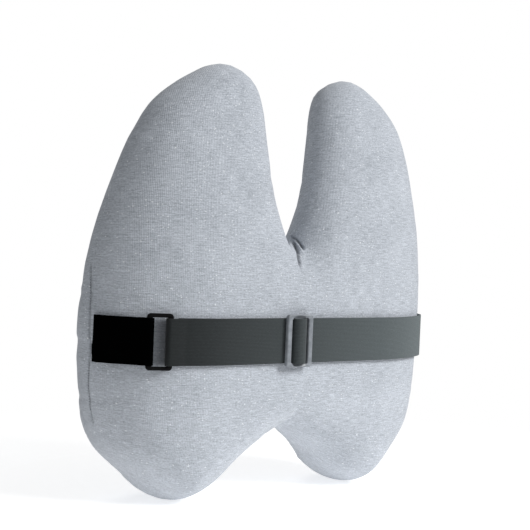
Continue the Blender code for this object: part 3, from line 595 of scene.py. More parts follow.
def sewn(piece, cover, arc):
    """Seams, darts, zip trough and the cloth's unevenness, by moving points."""
    mesh = piece.data
    place = corners_of(mesh)
    turn = vectors(mesh, "turn", 1).astype(float)
    foot = vectors(mesh, "foot")[:, (0, 2)].astype(float)
    out = vectors(mesh, "out")[:, (0, 2)].astype(float)
    point = place / MM - np.array(shift(cover))
    normal = corners_of(mesh, "normal")
    rim = foot + out * cover.edge_radius
    x, z = point[:, 0], point[:, 2]
    half = (front_y(cover, x, z) - back_y(cover, x, z)) / 2
    lean = np.radians(turn)
    per_degree = np.radians(1) * np.hypot(cover.edge_radius * np.sin(lean), half * np.cos(lean))
    move = np.zeros(len(x))

    # The front seam, with its puckers.
    from_seam = (turn - SEAM_ANGLE) * per_degree
    near = np.abs(from_seam) < 34
    rim_at = np.c_[rim, np.zeros(len(x))]
    gather = np.zeros(len(x))
    gather[near] = wander(rim_at[near], 0.17, 1) + 0.6 * wander(rim_at[near], 0.42, 2)
    low = 0.12 + 0.88 * smoothstep(100, 25, z)
    zip_off, zip_along, zip_above = arc.offsets(point)
    at_zip = smoothstep(-14, -5, zip_along) * smoothstep(16, 7, zip_along - arc.length)
    at_zip = at_zip * (x > 0) * (np.abs(from_seam) < 24)
    seam = -cover.seam_depth * hump(from_seam, 1.0)
    seam += 0.55 * hump(np.abs(from_seam) - 3.6, 2.4)
    reach = 6.0 + 12.0 * smoothstep(80, 20, z)
    pucker = gather * low * hump(from_seam, reach) * (1 - 0.6 * hump(from_seam, 0.8))
    move += (seam + 0.75 * pucker) * (1 - at_zip)

    # The zip's trough, with a rolled hem along each side.
    trough = smoothstep(TROUGH_HALF + 0.9, TROUGH_HALF - 0.5, np.abs(zip_off))
    hem = hump(np.abs(zip_off) - TROUGH_HALF - 1.9, 1.3)
    fold = hump(np.abs(zip_off) - TROUGH_HALF - 5.2, 0.55)
    sunk = np.clip(3.4 + zip_above, 2.8, 3.8)
    move += at_zip * (-sunk * trough + 0.45 * hem - 0.35 * fold)

    # The darts on the flanks, where the strap is sewn in.
    from_dart = (turn - dart_degrees(z)) * per_degree
    sides = (np.abs(foot[:, 0]) > 95) & (np.abs(out[:, 0]) > 0.6)
    length = smoothstep(70, 76, z) * smoothstep(212, 206, z) * sides
    near_dart = (np.abs(from_dart) < 8) & (length > 0)
    ruck = np.zeros(len(x))
    ruck[near_dart] = wander(rim_at[near_dart], 0.3, 3)
    move += length * (-0.85 * hump(from_dart, 0.75) + 0.3 * hump(np.abs(from_dart) - 2.2, 1.4))
    move += length * 0.25 * ruck * hump(from_dart, 4.0)

    # The edge of the stiffened part of each flank, seen as a faint step.
    inside = smoothstep(126, 132, np.abs(x)) * (turn < 0)
    top = smoothstep(207.5, 205.5, z) * smoothstep(86, 88.5, z)
    move += 0.35 * inside * top

    # Folds under the slot, the strap's pull and the cloth's own unevenness.
    near_slot = (np.abs(x) < 30) & (z > 195) & (z < 250) & (turn < 10)
    folds = np.zeros(len(x))
    folds[near_slot] = slot_creases(point[near_slot])
    move -= np.clip(folds, -1.4, 3.3)
    under = hump((z - STRAP_Z) / 24.0, 1.0) * (turn < -20)
    move += (1 - under) * (0.4 * wander(point, 0.017, 4) + 0.1 * wander(point, 0.06, 5))
    move -= 0.35 * under

    place = place + normal * (move * MM)[:, None]
    mesh.vertices.foreach_set("co", place.ravel())
    mesh.update()

    # The knit's own coordinates: wales across and courses up, in millimetres.
    steps = 16
    arc_length = np.zeros(len(x))
    for k in range(steps):
        part = np.radians(-90 + (turn + 90) * (k + 0.5) / steps)
        pace = np.hypot(cover.edge_radius * np.sin(part), half * np.cos(part))
        arc_length += pace * np.radians(turn + 90) / steps
    laid = foot + out * arc_length[:, None]
    store(mesh, "knit", np.c_[laid[:, 0], np.zeros(len(x)), laid[:, 1]], "FLOAT_VECTOR")
    # Painted shade: the cover's colour is darkened along the front seam and the darts, in the
    # folds under the slot, and under the ring where its shadow falls.
    painted_shade = hump(from_seam, 1.3) * (1 - at_zip) + length * 0.6 * hump(from_dart, 0.8)
    shade = hump(x - RING_SHADE_X, RING_SHADE_HALF) * smoothstep(22, 17, np.abs(z - STRAP_Z))
    shade = shade * (turn < -20)
    tone = np.maximum(painted_shade + np.clip(folds, 0, 3) * 0.3, 1.05 * shade)
    store(mesh, "painted_shade", np.clip(tone, 0, 1))


def make_cover(cover):
    bm = cover_skin(cover)
    piece = finished("cover_knit", bm, knit_material(cover), smooth=0)
    swelled(piece, cover)
    finer = piece.modifiers.new("finer", "SUBSURF")
    finer.levels = 1
    finer.render_levels = 1
    applied(piece)
    refine_slot(piece)
    sewn(piece, cover, ZipArc(cover))
    for name in ("foot", "out", "turn"):
        piece.data.attributes.remove(piece.data.attributes[name])
    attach(piece, "cushion")
    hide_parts("cover_back", "cover_front")
    return piece


def refine_slot(piece):
    """A finer mesh where the folds under the slot are."""
    bm = bmesh.new()
    bm.from_mesh(piece.data)
    for margin in (0.0, 0.003, 0.005):
        low = Vector((-0.020 + margin, -0.01, 0.088 + margin))
        high = Vector((0.019 - margin, 0.048 - margin, 0.134 - margin))
        edges = [
            e for e in bm.edges
            if all(low[k] < v.co[k] < high[k] for v in e.verts for k in range(3))
        ]
        bmesh.ops.subdivide_edges(bm, edges=edges, cuts=1, use_grid_fill=True)
    bm.to_mesh(piece.data)
    bm.free()


# ---- strap -------------------------------------------------------------------------------
class Route:
    """Distances along the strap's route across the back, 0 at the middle."""

    def __init__(self, cover):
        half = cover.width / 2 - SIDE_RADIUS
        half += math.sqrt(SIDE_RADIUS**2 - (STRAP_Z - WAIST_Z) ** 2)
        foot_x = half - cover.edge_radius
        right = []
        for k in range(18):
            degrees = STRAP_SEWN_ANGLE + (-90.0 - STRAP_SEWN_ANGLE) * k / 18
            right.append(skin_point(cover, Vector((foot_x, STRAP_Z)), Vector((1, 0)), degrees))
        for k in range(65):
            x = foot_x * (1 - k / 64)
            right.append(Vector((x, float(back_y(cover, x, STRAP_Z)), STRAP_Z)))
        right = [Vector((p.x, p.y)) for p in right]
        self.points = [Vector((-p.x, p.y)) for p in right[:-1]] + right[::-1]
        self.at = [0.0]
        for here, there in zip(self.points, self.points[1:]):
            self.at.append(self.at[-1] + (there - here).length)
        middle = self.at[-1] / 2
        self.at = [distance - middle for distance in self.at]

    def place(self, s, lift):
        """The point this far along, lifted off the cushion, and the outward direction."""
        k = max(0, min(len(self.at) - 2, sum(1 for d in self.at[1:-1] if d <= s)))
        run = self.points[k + 1] - self.points[k]
        share = (s - self.at[k]) / (self.at[k + 1] - self.at[k])
        before = self.points[max(k - 1, 0)]
        after = self.points[min(k + 2, len(self.points) - 1)]
        along = run.lerp(after - before, 0.5).normalized()
        out = Vector((along.y, -along.x))
        return self.points[k] + run * share + out * lift, out

    def span(self, start, end, lift, pitch=3.0):
        count = max(1, round(abs(end - start) / pitch))
        return [self.place(start + (end - start) * k / count, lift)[0] for k in range(count + 1)]

    def nearest(self, point):
        low, high = self.at[0], self.at[-1]
        tries = [low + (high - low) * k / 800 for k in range(801)]
        return min(tries, key=lambda s: (self.place(s, 0.0)[0] - point).length)


def half_turn(centre, radius, start, end, steps=10):
    """Points on an arc in plan, from one direction (degrees) to another."""
    turns = (math.radians(start + (end - start) * k / steps) for k in range(steps + 1))
    return [centre + radius * Vector((math.cos(t), math.sin(t))) for t in turns]


def ribbon(path, width, rows=8):
    """Webbing on edge along a path in plan, with soft edges and a slightly crowned face."""
    bm = bmesh.new()
    run_of = bm.verts.layers.float.new("run")
    half = WEBBING / 2
    pairs = []
    run = 0.0
    for i, point in enumerate(path):
        before = path[max(i - 1, 0)]
        after = path[min(i + 1, len(path) - 1)]
        along = (after - before).normalized()
        lean = along.dot((after - point).normalized()) if 0 < i < len(path) - 1 else 1.0
        side = Vector((-along.y, along.x)) * (half / max(lean, 0.5))
        if i:
            run += (point - path[i - 1]).length
        pair = []
        for s in (-1, 1):
            vert = bm.verts.new((*(point + s * side), STRAP_Z - width / 2))
            vert[run_of] = run
            pair.append(vert)
        pairs.append(pair)
    for (a, b), (c, d) in zip(pairs, pairs[1:]):
        bm.faces.new((a, b, d, c))
    raise_faces(bm, Vector((0, 0, width)))
    rims = [
        e for e in bm.edges
        if abs(e.verts[0].co.z - e.verts[1].co.z) < 0.01 and len(e.link_faces) == 2
        and e.calc_face_angle() > 1.2
    ]
    bmesh.ops.bevel(
        bm, geom=rims, offset=0.42, offset_type="OFFSET", segments=3, profile=0.5,
        affect="EDGES", material=-1,
    )
    upright = [
        e for e in bm.edges if abs(e.verts[0].co.z - e.verts[1].co.z) > width * 0.8
    ]
    bmesh.ops.subdivide_edges(bm, edges=upright, cuts=rows, use_grid_fill=True)
    return bm


def strap_paths(route):
    """Paths in plan of the tab, the main strap and its returning end, with the ring's pose."""
    half = WEBBING / 2
    return_lift = STRAP_LIFT + half
    band_lift = return_lift + WEBBING + GAP
    fold_radius = math.hypot(RING_THICK / 2, RING_BAR / 2) + GAP + half
    ring_lift = STRAP_LIFT + half + fold_radius + 0.6
    centre, out = route.place(RING_S, ring_lift)
    angle = math.atan2(out.y, out.x) + math.pi / 2
    along = Vector((math.cos(angle), math.sin(angle)))
    heading = math.degrees(angle)
    offset = RING_WIDTH / 2 - RING_BAR / 2
    left_bar = centre - along * offset
    right_bar = centre + along * offset
    first, last = route.at[0], route.at[-1]

    inner_end = left_bar - along * (fold_radius + 1.0) - out * fold_radius * 0.8
    tab = [route.place(first - 4.0, -2.6)[0], route.place(first - 1.5, -0.6)[0]]
    tab += route.span(first + 2.0, route.nearest(inner_end) - 4.0, return_lift)
    tab += [left_bar - out * fold_radius - along * 1.0]
    tab += half_turn(left_bar, fold_radius, heading + 90, heading - 90)[1:]
    outer_start = route.nearest(left_bar + out * fold_radius)
    tab += route.span(outer_start - 13.0, first + 4.5, return_lift + WEBBING + 0.5 * GAP)
    tab += [route.place(first + 0.5, return_lift + 0.4)[0], route.place(first - 2.6, -1.2)[0]]

    right_s = route.nearest(right_bar)
    band = [right_bar - out * fold_radius + along * 2.0]
    band += half_turn(right_bar, fold_radius, heading + 90, heading + 270)
    band += route.span(right_s + 12.0, BAND_END_S, band_lift)
    band += route.span(BAND_END_S, last - 22.0, band_lift)[1:]
    band += route.span(last - 19.0, last - 6.0, return_lift + 0.7, 4.0)
    band += [route.place(last - 1.0, return_lift - 0.2)[0], route.place(last + 3.0, -2.0)[0]]
    back = route.span(right_s + 7.0, SLIDER_X - SLIDER_WIDTH / 2 + 6.0, return_lift)
    return tab, band, back, (centre, angle), band_lift + half


def plate(xs, zs, holes, thickness, corner, soften, sink=None):
    """A moulded frame: a grid of cells with some left out, raised, with rounded edges."""
    bm = bmesh.new()
    grid = [[bm.verts.new((x, 0, z)) for z in zs] for x in xs]
    for i in range(len(xs) - 1):
        for j in range(len(zs) - 1):
            if (i, j) not in holes:
                bm.faces.new((grid[i][j], grid[i + 1][j], grid[i + 1][j + 1], grid[i][j + 1]))
    bmesh.ops.delete(bm, geom=[v for v in bm.verts if not v.link_faces], context="VERTS")
    raise_faces(bm, Vector((0, -thickness, 0)))
    bmesh.ops.translate(bm, verts=bm.verts[:], vec=(0, thickness / 2, 0))
    if sink:
        for vert in bm.verts:
            inside = abs(vert.co.x) < sink[0] + 0.01 and abs(vert.co.z) < sink[1] + 0.01
            if inside and vert.co.y < 0:
                vert.co.y += sink[2]
    far_x, far_z = max(xs), max(zs)
    uprights = [e for e in bm.edges if abs(e.verts[0].co.y - e.verts[1].co.y) > 0.5]
    outer = [
        e for e in uprights
        if all(abs(v.co.x) > far_x - 0.01 and abs(v.co.z) > far_z - 0.01 for v in e.verts)
    ]
    bmesh.ops.bevel(
        bm, geom=outer, offset=corner, offset_type="OFFSET", segments=8, profile=0.5,
        affect="EDGES", material=-1,
    )
    inner = [
        e for e in bm.edges
        if abs(e.verts[0].co.y - e.verts[1].co.y) > 0.5
        and len(e.link_faces) == 2 and e.calc_face_angle() > 1.3
        and all(abs(v.co.x) < far_x - 0.01 for v in e.verts)
    ]
    bmesh.ops.bevel(
        bm, geom=inner, offset=1.7, offset_type="OFFSET", segments=5, profile=0.5,
        affect="EDGES", material=-1,
    )
    sharp = [
        e for e in bm.edges
        if len(e.link_faces) == 2 and e.calc_face_angle() > 1.2
        and abs(e.verts[0].co.y - e.verts[1].co.y) < 0.01
    ]
    bmesh.ops.bevel(
        bm, geom=sharp, offset=soften, offset_type="OFFSET", segments=5, profile=0.5,
        affect="EDGES", material=-1,
    )
    return bm


def at_place(x, z=STRAP_Z, y=0.0):
    """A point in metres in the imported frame, from millimetres in the cushion's own."""
    cover = bpy.context.scene.cushion_cover
    return (Vector((x, y, z)) + shift(cover)) * MM


def make_strap(cover, strap):
    route = Route(cover)
    tab, band, back, _, _ = strap_paths(route)
    # Painted light: this elastic is made paler along its run towards the far end, where the light
    # falls.
    elastic = webbing_material("elastic", strap.elastic, 0.93, far_light=9.0)
    dark = webbing_material("elastic_shaded", [c * 0.04 for c in strap.elastic], 1.0, 0.0)
    piece = finished("strap_tab_elastic", ribbon(tab, strap.width), dark)
    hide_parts("strap_tab")
    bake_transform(piece)
    piece = finished("strap_elastic", ribbon(band, strap.width), elastic)
    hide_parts("strap_band", "strap_run")
    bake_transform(piece)
    piece = finished("strap_return_end", ribbon(back, strap.width), dark)
    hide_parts("strap_return")
    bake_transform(piece)


def make_hardware(cover, strap):
    route = Route(cover)
    *_, (centre, angle), lift = strap_paths(route)
    window = strap.width / 2 + SIDE_CLEARANCE
    outer = RING_WIDTH / 2
    xs = (-outer, -outer + RING_BAR, outer - RING_BAR, outer)
    zs = (-window - RING_RAIL, -window, window, window + RING_RAIL)
    ring = plate(xs, zs, {(1, 1)}, RING_THICK, 0.9 * RING_RAIL, 1.15)
    pose = Matrix.Translation((centre.x, centre.y, STRAP_Z)) @ Matrix.Rotation(angle, 4, "Z")
    bmesh.ops.transform(ring, matrix=pose, verts=ring.verts[:])
    finished(
        "ring_moulded", ring, plastic_material("ring_plastic", strap.ring, 0.6, 0.12), "strap",
        ("strap_ring",),
    )
    middle_y = float(back_y(cover, SLIDER_X, STRAP_Z)) - lift - GAP - SLIDER_THICK / 2
    outer = SLIDER_WIDTH / 2
    bar = SLIDER_CENTRE_BAR / 2
    xs = (-outer, -outer + SLIDER_BAR, -bar, bar, outer - SLIDER_BAR, outer)
    zs = (-window - SLIDER_RAIL, -window, window, window + SLIDER_RAIL)
    sink = (bar, window, SLIDER_BAR_DROP)
    glide = plate(xs, zs, {(1, 1), (3, 1)}, SLIDER_THICK, 0.94 * SLIDER_RAIL, 1.38, sink)
    bmesh.ops.translate(glide, verts=glide.verts[:], vec=(SLIDER_X, middle_y, STRAP_Z))
    finished(
        "triglide_moulded", glide, plastic_material("slider_plastic", strap.slider, 0.36),
        "slider", ("strap_slider",),
    )
    reach = bar + GAP + WEBBING / 2
    top = Vector((SLIDER_X, middle_y - SLIDER_THICK / 2 + SLIDER_BAR_DROP))
    foot_y = middle_y + SLIDER_THICK / 2 - 0.5
    arch = [Vector((SLIDER_X - reach, foot_y))]
    arch += half_turn(top, reach, 180, 360, 16)
    arch += [Vector((SLIDER_X + reach, foot_y))]
    # Painted light: the elastic over the bar is a paler copy of the strap's colour, standing in
    # for the light it catches.
    finished(
        "strap_over_bar", ribbon(arch, strap.width),
        webbing_material("elastic_painted_lit_over_bar", [c * 3.6 for c in strap.elastic], 0.85), "slider",
        ("strap_wrap",),
    )


# ---- zip ---------------------------------------------------------------------------------
class ZipArc:
    """The circle through the seam's lower, middle and upper points beside the zip."""

    def __init__(self, cover):
        feet, normals = rim_feet(cover, 2)
        side = [
            skin_point(cover, foot, out, SEAM_ANGLE)
            for foot, out in zip(feet, normals) if foot.x > 0 and out.x > 0.5
        ]
        side.sort(key=lambda p: p.z)
        ends = (ZIP_LOW, (ZIP_LOW + ZIP_HIGH) / 2, ZIP_HIGH)
        found = []
        for z in ends:
            for low, high in zip(side, side[1:]):
                if low.z <= z <= high.z:
                    found.append(low.lerp(high, (z - low.z) / (high.z - low.z)))
                    break
        a, b, c = found
        ab = b - a
        ac = c - a
        normal = ab.cross(ac)
        reach = ac.length_squared * normal.cross(ab) + ab.length_squared * ac.cross(normal)
        reach = reach / (2 * normal.length_squared)
        self.centre = a + reach
        self.axis = normal.normalized()
        if self.axis.y > 0:
            self.axis = -self.axis
        self.radius = reach.length
        self.start = a
        self.sweep = (a - self.centre).angle(c - self.centre)
        self.length = self.sweep * self.radius
        self.outward = (a - self.centre).normalized()
        self.lean = math.radians(SEAM_ANGLE)
        self.across = -self.axis * math.cos(self.lean) - self.outward * math.sin(self.lean)
        self.along = self.axis.cross(self.outward).normalized()
        self.normal = self.across.cross(self.along)
        if self.normal.dot(self.outward) < 0:
            self.normal = -self.normal

    def offsets(self, points):
        """How far points lie across the zip, along it and above it, in millimetres."""
        place = points - np.array(self.centre)
        rise = place @ np.array(self.axis)
        flat = place - rise[:, None] * np.array(self.axis)
        beyond = np.linalg.norm(flat, axis=1) - self.radius
        across = -rise * math.cos(self.lean) - beyond * math.sin(self.lean)
        above = beyond * math.cos(self.lean) - rise * math.sin(self.lean)
        angle = np.arctan2(flat @ np.array(self.along), flat @ np.array(self.outward))
        return across, angle * self.radius, above

    def at(self, p, q, along=0.0):
        return self.start + self.across * p + self.normal * q + self.along * along

    def carry(self, bm, verts, distance):
        turn = Matrix.Rotation(distance / self.radius, 3, self.axis)
        bmesh.ops.rotate(bm, cent=self.centre, matrix=turn, verts=verts)


def tape_mesh(arc, side):
    """A woven tape: a thin rounded strip swept along the zip."""
    edge = (1.3 * side, (TROUGH_HALF + 0.9) * side)
    section = [(edge[0], -0.75), (edge[1], -1.2), (edge[1], -0.7), (edge[0], -0.25)]
    bm = bmesh.new()
    run_of = bm.verts.layers.float.new("run")
    ring = [bm.verts.new(arc.at(p, q)) for p, q in section]
    for vert, (p, _) in zip(ring, section):
        vert[run_of] = p
    edges = [bm.edges.new((ring[i - 1], ring[i])) for i in range(len(ring))]
    arc.carry(bm, bm.verts[:], -4.0)
    bmesh.ops.spin(
        bm, geom=ring + edges, cent=arc.centre, axis=arc.axis,
        angle=(arc.length + 8.0) / arc.radius, steps=60,
    )
    bmesh.ops.holes_fill(bm, edges=[e for e in bm.edges if e.is_boundary], sides=0)
    bmesh.ops.recalc_face_normals(bm, faces=bm.faces[:])
    return bm


def coil_mesh(arc, side):
    """Interlocked nylon loops, one short bent tube repeated along the zip."""
    bm = bmesh.new()
    wire = 0.36
    reach = [(2.75, -0.55), (1.7, -0.75), (0.62, -0.55), (-0.35, 0.0), (0.62, 0.55), (1.7, 0.75)]
    reach.append((2.75, 0.55))
    rings = []
    for i, (p, q) in enumerate(reach):
        before = Vector(reach[max(i - 1, 0)])
        after = Vector(reach[min(i + 1, len(reach) - 1)])
        along = (after - before).normalized()
        lean = Vector((-along.y, along.x))
        drift = (i / (len(reach) - 1) - 0.5) * 0.5
        ring = []
        for k in range(5):
            turn = math.tau * k / 5
            off = lean * wire * math.cos(turn)
            thick = 0.42 * math.sin(turn) + drift
            ring.append(bm.verts.new(arc.at(side * (p + off.x), q + off.y, thick)))
        rings.append(ring)
    for low, high in zip(rings, rings[1:]):
        for k in range(5):
            bm.faces.new((low[k - 1], low[k], high[k], high[k - 1]))
    for ring in (rings[0], rings[-1]):
        bm.faces.new(ring)
    bmesh.ops.recalc_face_normals(bm, faces=bm.faces[:])
    count = int(arc.length / COIL_PITCH)
    if side > 0:
        arc.carry(bm, bm.verts[:], COIL_PITCH / 2)
    bmesh.ops.spin(
        bm, geom=bm.verts[:] + bm.edges[:] + bm.faces[:], cent=arc.centre, axis=arc.axis,
        angle=(count - 1) * COIL_PITCH / arc.radius, steps=count - 1, use_duplicate=True,
    )
    return bm


def make_zip(cover, colours):
    arc = ZipArc(cover)
    tape = webbing_material("zip_tape_weave", colours.tape, 0.9)
    coil = plastic_material("zip_coil_nylon", colours.coil, 0.35)
    for name, side in (("back", -1), ("front", 1)):
        finished(
            f"zip_tape_{name}_woven", tape_mesh(arc, side), tape, "cushion",
            (f"zip_tape_{name}",),
        )
        finished(
            f"zip_coil_{name}_loops", coil_mesh(arc, side), coil, "cushion",
            (f"zip_coil_{name}",), smooth=60,
        )
    metal = metal_material(colours.metal)
    for node in ("zip_stop_low", "zip_stop_high", "zip_slider", "zip_pull"):
        repaint(node, metal)


def repaint(node, material):
    """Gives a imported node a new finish."""
    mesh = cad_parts[node].data
    mesh.materials.clear()
    mesh.materials.append(material)


# ---- stitching ---------------------------------------------------------------------------
def dashes(name, lines, surface, material, length, thick, lift, body="cushion"):
    """Sewing stitches: short rounded dashes along lines, laid on the cover's surface."""
    bm = bmesh.new()
    for line in lines:
        for place, along in line:
            hit, normal, _, _ = surface.find_nearest(place * MM)
            if hit is None:
                continue
            side = along.cross(normal).normalized()
            along = normal.cross(side).normalized()
            turn = Matrix((along, side, normal)).transposed().to_4x4()
            size = Matrix.Diagonal((length / 2, thick, thick * 0.6, 1))
            bead = bmesh.ops.create_icosphere(bm, subdivisions=1, radius=1.0)["verts"]
            spot = Matrix.Translation(hit / MM + normal * lift)
            bmesh.ops.transform(bm, matrix=spot @ turn @ size, verts=bead)
    cover = bpy.context.scene.cushion_cover
    bmesh.ops.translate(bm, verts=bm.verts[:], vec=-shift(cover))
    return finished(name, bm, material, body)


def spaced(points, pitch):
    """Even places along a polyline, each with its direction."""
    found = []
    left = 0.0
    for here, there in zip(points, points[1:]):
        run = (there - here).length
        while left < run:
            found.append((here.lerp(there, left / run), (there - here).normalized()))
            left += pitch
        left -= run
    return found


def make_stitches(cover):
    """Dart seams on the flanks and topstitching along the zip's hems."""
    mesh = bpy.data.objects["cover_knit"].data
    surface = BVHTree.FromPolygons(
        [v.co for v in mesh.vertices], [p.vertices for p in mesh.polygons]
    )
    lines = []
    feet, normals = rim_feet(cover, 8)
    for side in (-1, 1):
        row = [
            (foot, out) for foot, out in zip(feet, normals)
            if side * foot.x > 95 and side * out.x > 0.55
        ]
        row.sort(key=lambda pair: pair[0].y + pair[1].y * cover.edge_radius)
        path = []
        for foot, out in row:
            z = foot.y + out.y * cover.edge_radius
            path.append(skin_point(cover, foot, out, float(dart_degrees(z))))
        path = [p + shift(cover) for p in path]
        low, high = (z - MOUNT_Z for z in DART_STITCHES)
        strap_low = STRAP_Z - STRAP_HIDES - MOUNT_Z
        strap_high = STRAP_Z + STRAP_HIDES - MOUNT_Z
        kept = [
            (p, a) for p, a in spaced(path, DART_PITCH)
            if low < p.z < high and not strap_low < p.z < strap_high
        ]
        lines.append(kept)
    thread = thread_material("dart_thread", (0.07, 0.075, 0.085))
    dashes("dart_stitches", lines, surface, thread, 1.25, 0.3, 0.02)
    arc = ZipArc(cover)
    hems = []
    for side in (-1, 1):
        path = []
        for k in range(61):
            turn = Matrix.Rotation((arc.length * k / 60) / arc.radius, 3, arc.axis)
            point = arc.at(side * (TROUGH_HALF + HEM_OFFSET), 0.0) - arc.centre
            path.append(turn @ point + arc.centre + shift(cover))
        hems.append(spaced(path, HEM_PITCH))
    thread = thread_material("hem_thread", (0.34, 0.36, 0.40))
    dashes("hem_stitches", hems, surface, thread, 2.2, 0.28, 0.12)


# ---- finishes ----------------------------------------------------------------------------
class Finish:
    """Builds a procedural finish, node by node."""

    def __init__(self, name, roughness, **sockets):
        self.material = bpy.data.materials.new(name)
        self.material.use_nodes = True
        self.tree = self.material.node_tree
        self.shader = self.tree.nodes["Principled BSDF"]
        self.shader.inputs["Roughness"].default_value = roughness
        for socket, value in sockets.items():
            self.shader.inputs[socket.replace("_", " ")].default_value = value

    def node(self, kind, inputs=(), **values):
        node = self.tree.nodes.new(kind)
        for key, value in values.items():
            setattr(node, key, value)
        for key, value in dict(inputs).items():
            if isinstance(value, bpy.types.NodeSocket):
                self.tree.links.new(value, node.inputs[key])
            else:
                node.inputs[key].default_value = value
        return node

    def math(self, operation, a, b=0.0):
        return self.node("ShaderNodeMath", {0: a, 1: b}, operation=operation).outputs[0]

    def mapped(self, vector, scale):
        return self.node(
            "ShaderNodeMapping", {"Vector": vector, "Scale": scale}
        ).outputs[0]

    def noise(self, vector, scale=1.0, detail=3.0, roughness=0.5):
        inputs = {"Vector": vector, "Scale": scale, "Detail": detail, "Roughness": roughness}
        return self.node("ShaderNodeTexNoise", inputs).outputs[0]

    def remap(self, value, low, high, to_low=0.0, to_high=1.0):
        inputs = {"Value": value, "From Min": low, "From Max": high, "To Min": to_low}
        inputs["To Max"] = to_high
        return self.node("ShaderNodeMapRange", inputs).outputs[0]

    def mix(self, factor, a, b):
        inputs = {"Factor": factor}
        node = self.node("ShaderNodeMix", inputs, data_type="RGBA")
        for index, value in ((6, a), (7, b)):
            if isinstance(value, bpy.types.NodeSocket):
                self.tree.links.new(value, node.inputs[index])
            else:
                node.inputs[index].default_value = (*value[:3], 1.0)
        return node.outputs[2]

    def attribute(self, name, output="Vector"):
        node = self.node("ShaderNodeAttribute")
        node.attribute_name = name
        return node.outputs[output]

    def object_mm(self):
        place = self.node("ShaderNodeTexCoord").outputs["Object"]
        return self.mapped(place, (1000.0, 1000.0, 1000.0))

    def paint(self, colour, bump=None, strength=0.3, distance=0.0003, roughness=None):
        self.tree.links.new(colour, self.shader.inputs["Base Color"])
        if roughness:
            self.tree.links.new(roughness, self.shader.inputs["Roughness"])
        if bump:
            inputs = {"Height": bump, "Strength": strength, "Distance": distance}
            node = self.node("ShaderNodeBump", inputs)
            self.tree.links.new(node.outputs[0], self.shader.inputs["Normal"])
        return self.material


def knit_material(cover):
    """Heather knit: mottled yarns in fine horizontal courses, with a few white slubs."""
    f = Finish("heather_knit", 0.93, Sheen_Weight=0.22, Sheen_Roughness=0.5)
    f.shader.inputs["Specular IOR Level"].default_value = 0.25
    knit = f.attribute("knit")
    streaks = f.noise(f.mapped(knit, (0.10, 1.0, 0.95)), 1.0, 4.0, 0.65)
    mottle = f.noise(f.mapped(knit, (0.55, 1.0, 1.05)), 1.0, 3.0, 0.6)
    broad = f.noise(f.mapped(knit, (0.02, 0.02, 0.03)), 1.0, 2.0, 0.5)
    blend = f.math("ADD", f.math("MULTIPLY", streaks, 0.5), f.math("MULTIPLY", mottle, 0.5))
    blend = f.math("ADD", blend, f.math("MULTIPLY", f.math("SUBTRACT", broad, 0.5), 0.12))
    yarn = f.mix(f.remap(blend, 0.38, 0.61), cover.dark_yarn, cover.light_yarn)
    slub = f.node(
        "ShaderNodeTexVoronoi", {"Vector": f.mapped(knit, (0.26, 1.0, 0.42)), "Scale": 1.0}
    )
    picked = f.math("GREATER_THAN", f.node(
        "ShaderNodeSeparateColor", {"Color": slub.outputs["Color"]}
    ).outputs[0], 0.66)
    spot = f.math("MULTIPLY", f.math("LESS_THAN", slub.outputs["Distance"], 0.17), picked)
    yarn = f.mix(f.math("MULTIPLY", spot, 0.75), yarn, (0.86, 0.88, 0.90))
    # Painted shade: the yarn is mixed towards a dark grey along seams, darts and folds, and under
    # the ring.
    shade_amount = f.math("MULTIPLY", f.attribute("painted_shade", "Fac"), 0.72)
    yarn = f.mix(shade_amount, yarn, (0.09, 0.095, 0.105))
    parts = f.node("ShaderNodeSeparateXYZ", {"Vector": knit})
    across = parts.outputs[0]
    up = parts.outputs[2]
    wale = f.math("ABSOLUTE", f.math("SINE", f.math("MULTIPLY", across, math.pi / 1.5)))
    skew = f.math("MULTIPLY", wale, 1.9)
    course = f.math("SINE", f.math("ADD", f.math("MULTIPLY", up, math.tau / 1.25), skew))
    loops = f.math("MULTIPLY", wale, f.math("ADD", f.math("MULTIPLY", course, 0.5), 0.8))
    height = f.math("ADD", loops, f.math("MULTIPLY", mottle, 0.9))
    return f.paint(yarn, height, 0.55, 0.0004)


def webbing_material(name, colour, roughness, gloss=0.3, far_light=1.0):
    """Elastic webbing: ribs along its length, crossed by fine picks, with the rib crests paler in
    patches.

    Painted light: the yarn is paler by the given factor at the lit far end of a full-length strap.
    """
    f = Finish(name, roughness, Sheen_Weight=0.4 * gloss, Sheen_Roughness=0.4)
    f.shader.inputs["Specular IOR Level"].default_value = gloss
    place = f.object_mm()
    up = f.node("ShaderNodeSeparateXYZ", {"Vector": place}).outputs[2]
    run = f.attribute("run", "Fac")
    rib = f.math("ABSOLUTE", f.math("SINE", f.math("MULTIPLY", up, math.pi / 1.2)))
    picks = f.math("SINE", f.math("MULTIPLY", run, math.tau / 0.9))
    fuzz = f.noise(f.mapped(place, (0.5, 0.5, 2.2)), 1.0, 3.0, 0.6)
    light = f.math("MULTIPLY", f.math("POWER", rib, 1.5), f.remap(fuzz, 0.3, 0.75, 0.0, 1.0))
    tone = f.mix(light, colour, [c * 2.0 for c in colour])
    # Painted light: the colour rises towards the far end of the strap, standing in for the light
    # there.
    if far_light != 1.0:
        far_lit = f.mix(light, [c * far_light for c in colour], [c * far_light * 1.8 for c in colour])
        tone = f.mix(f.math("POWER", f.remap(run, 0.0, STRAP_RUN), 1.3), tone, far_lit)
    height = f.math("ADD", rib, f.math("MULTIPLY", picks, 0.18))
    return f.paint(tone, height, 0.5, 0.0004)


def plastic_material(name, colour, roughness, gloss=0.5):
    """Moulded plastic: a fine satin grain, with patches rubbed a little lighter."""
    f = Finish(name, roughness)
    f.shader.inputs["Specular IOR Level"].default_value = gloss
    place = f.object_mm()
    grain = f.noise(place, 2.4, 3.0, 0.6)
    rub = f.noise(place, 0.16, 2.0, 0.5)
    pale = [c * 1.45 for c in colour]
    tone = f.mix(f.remap(rub, 0.42, 0.7), colour, pale)
    gloss = f.remap(rub, 0.3, 0.7, roughness - 0.06, roughness + 0.1)
    return f.paint(tone, grain, 0.12, 0.0001, gloss)


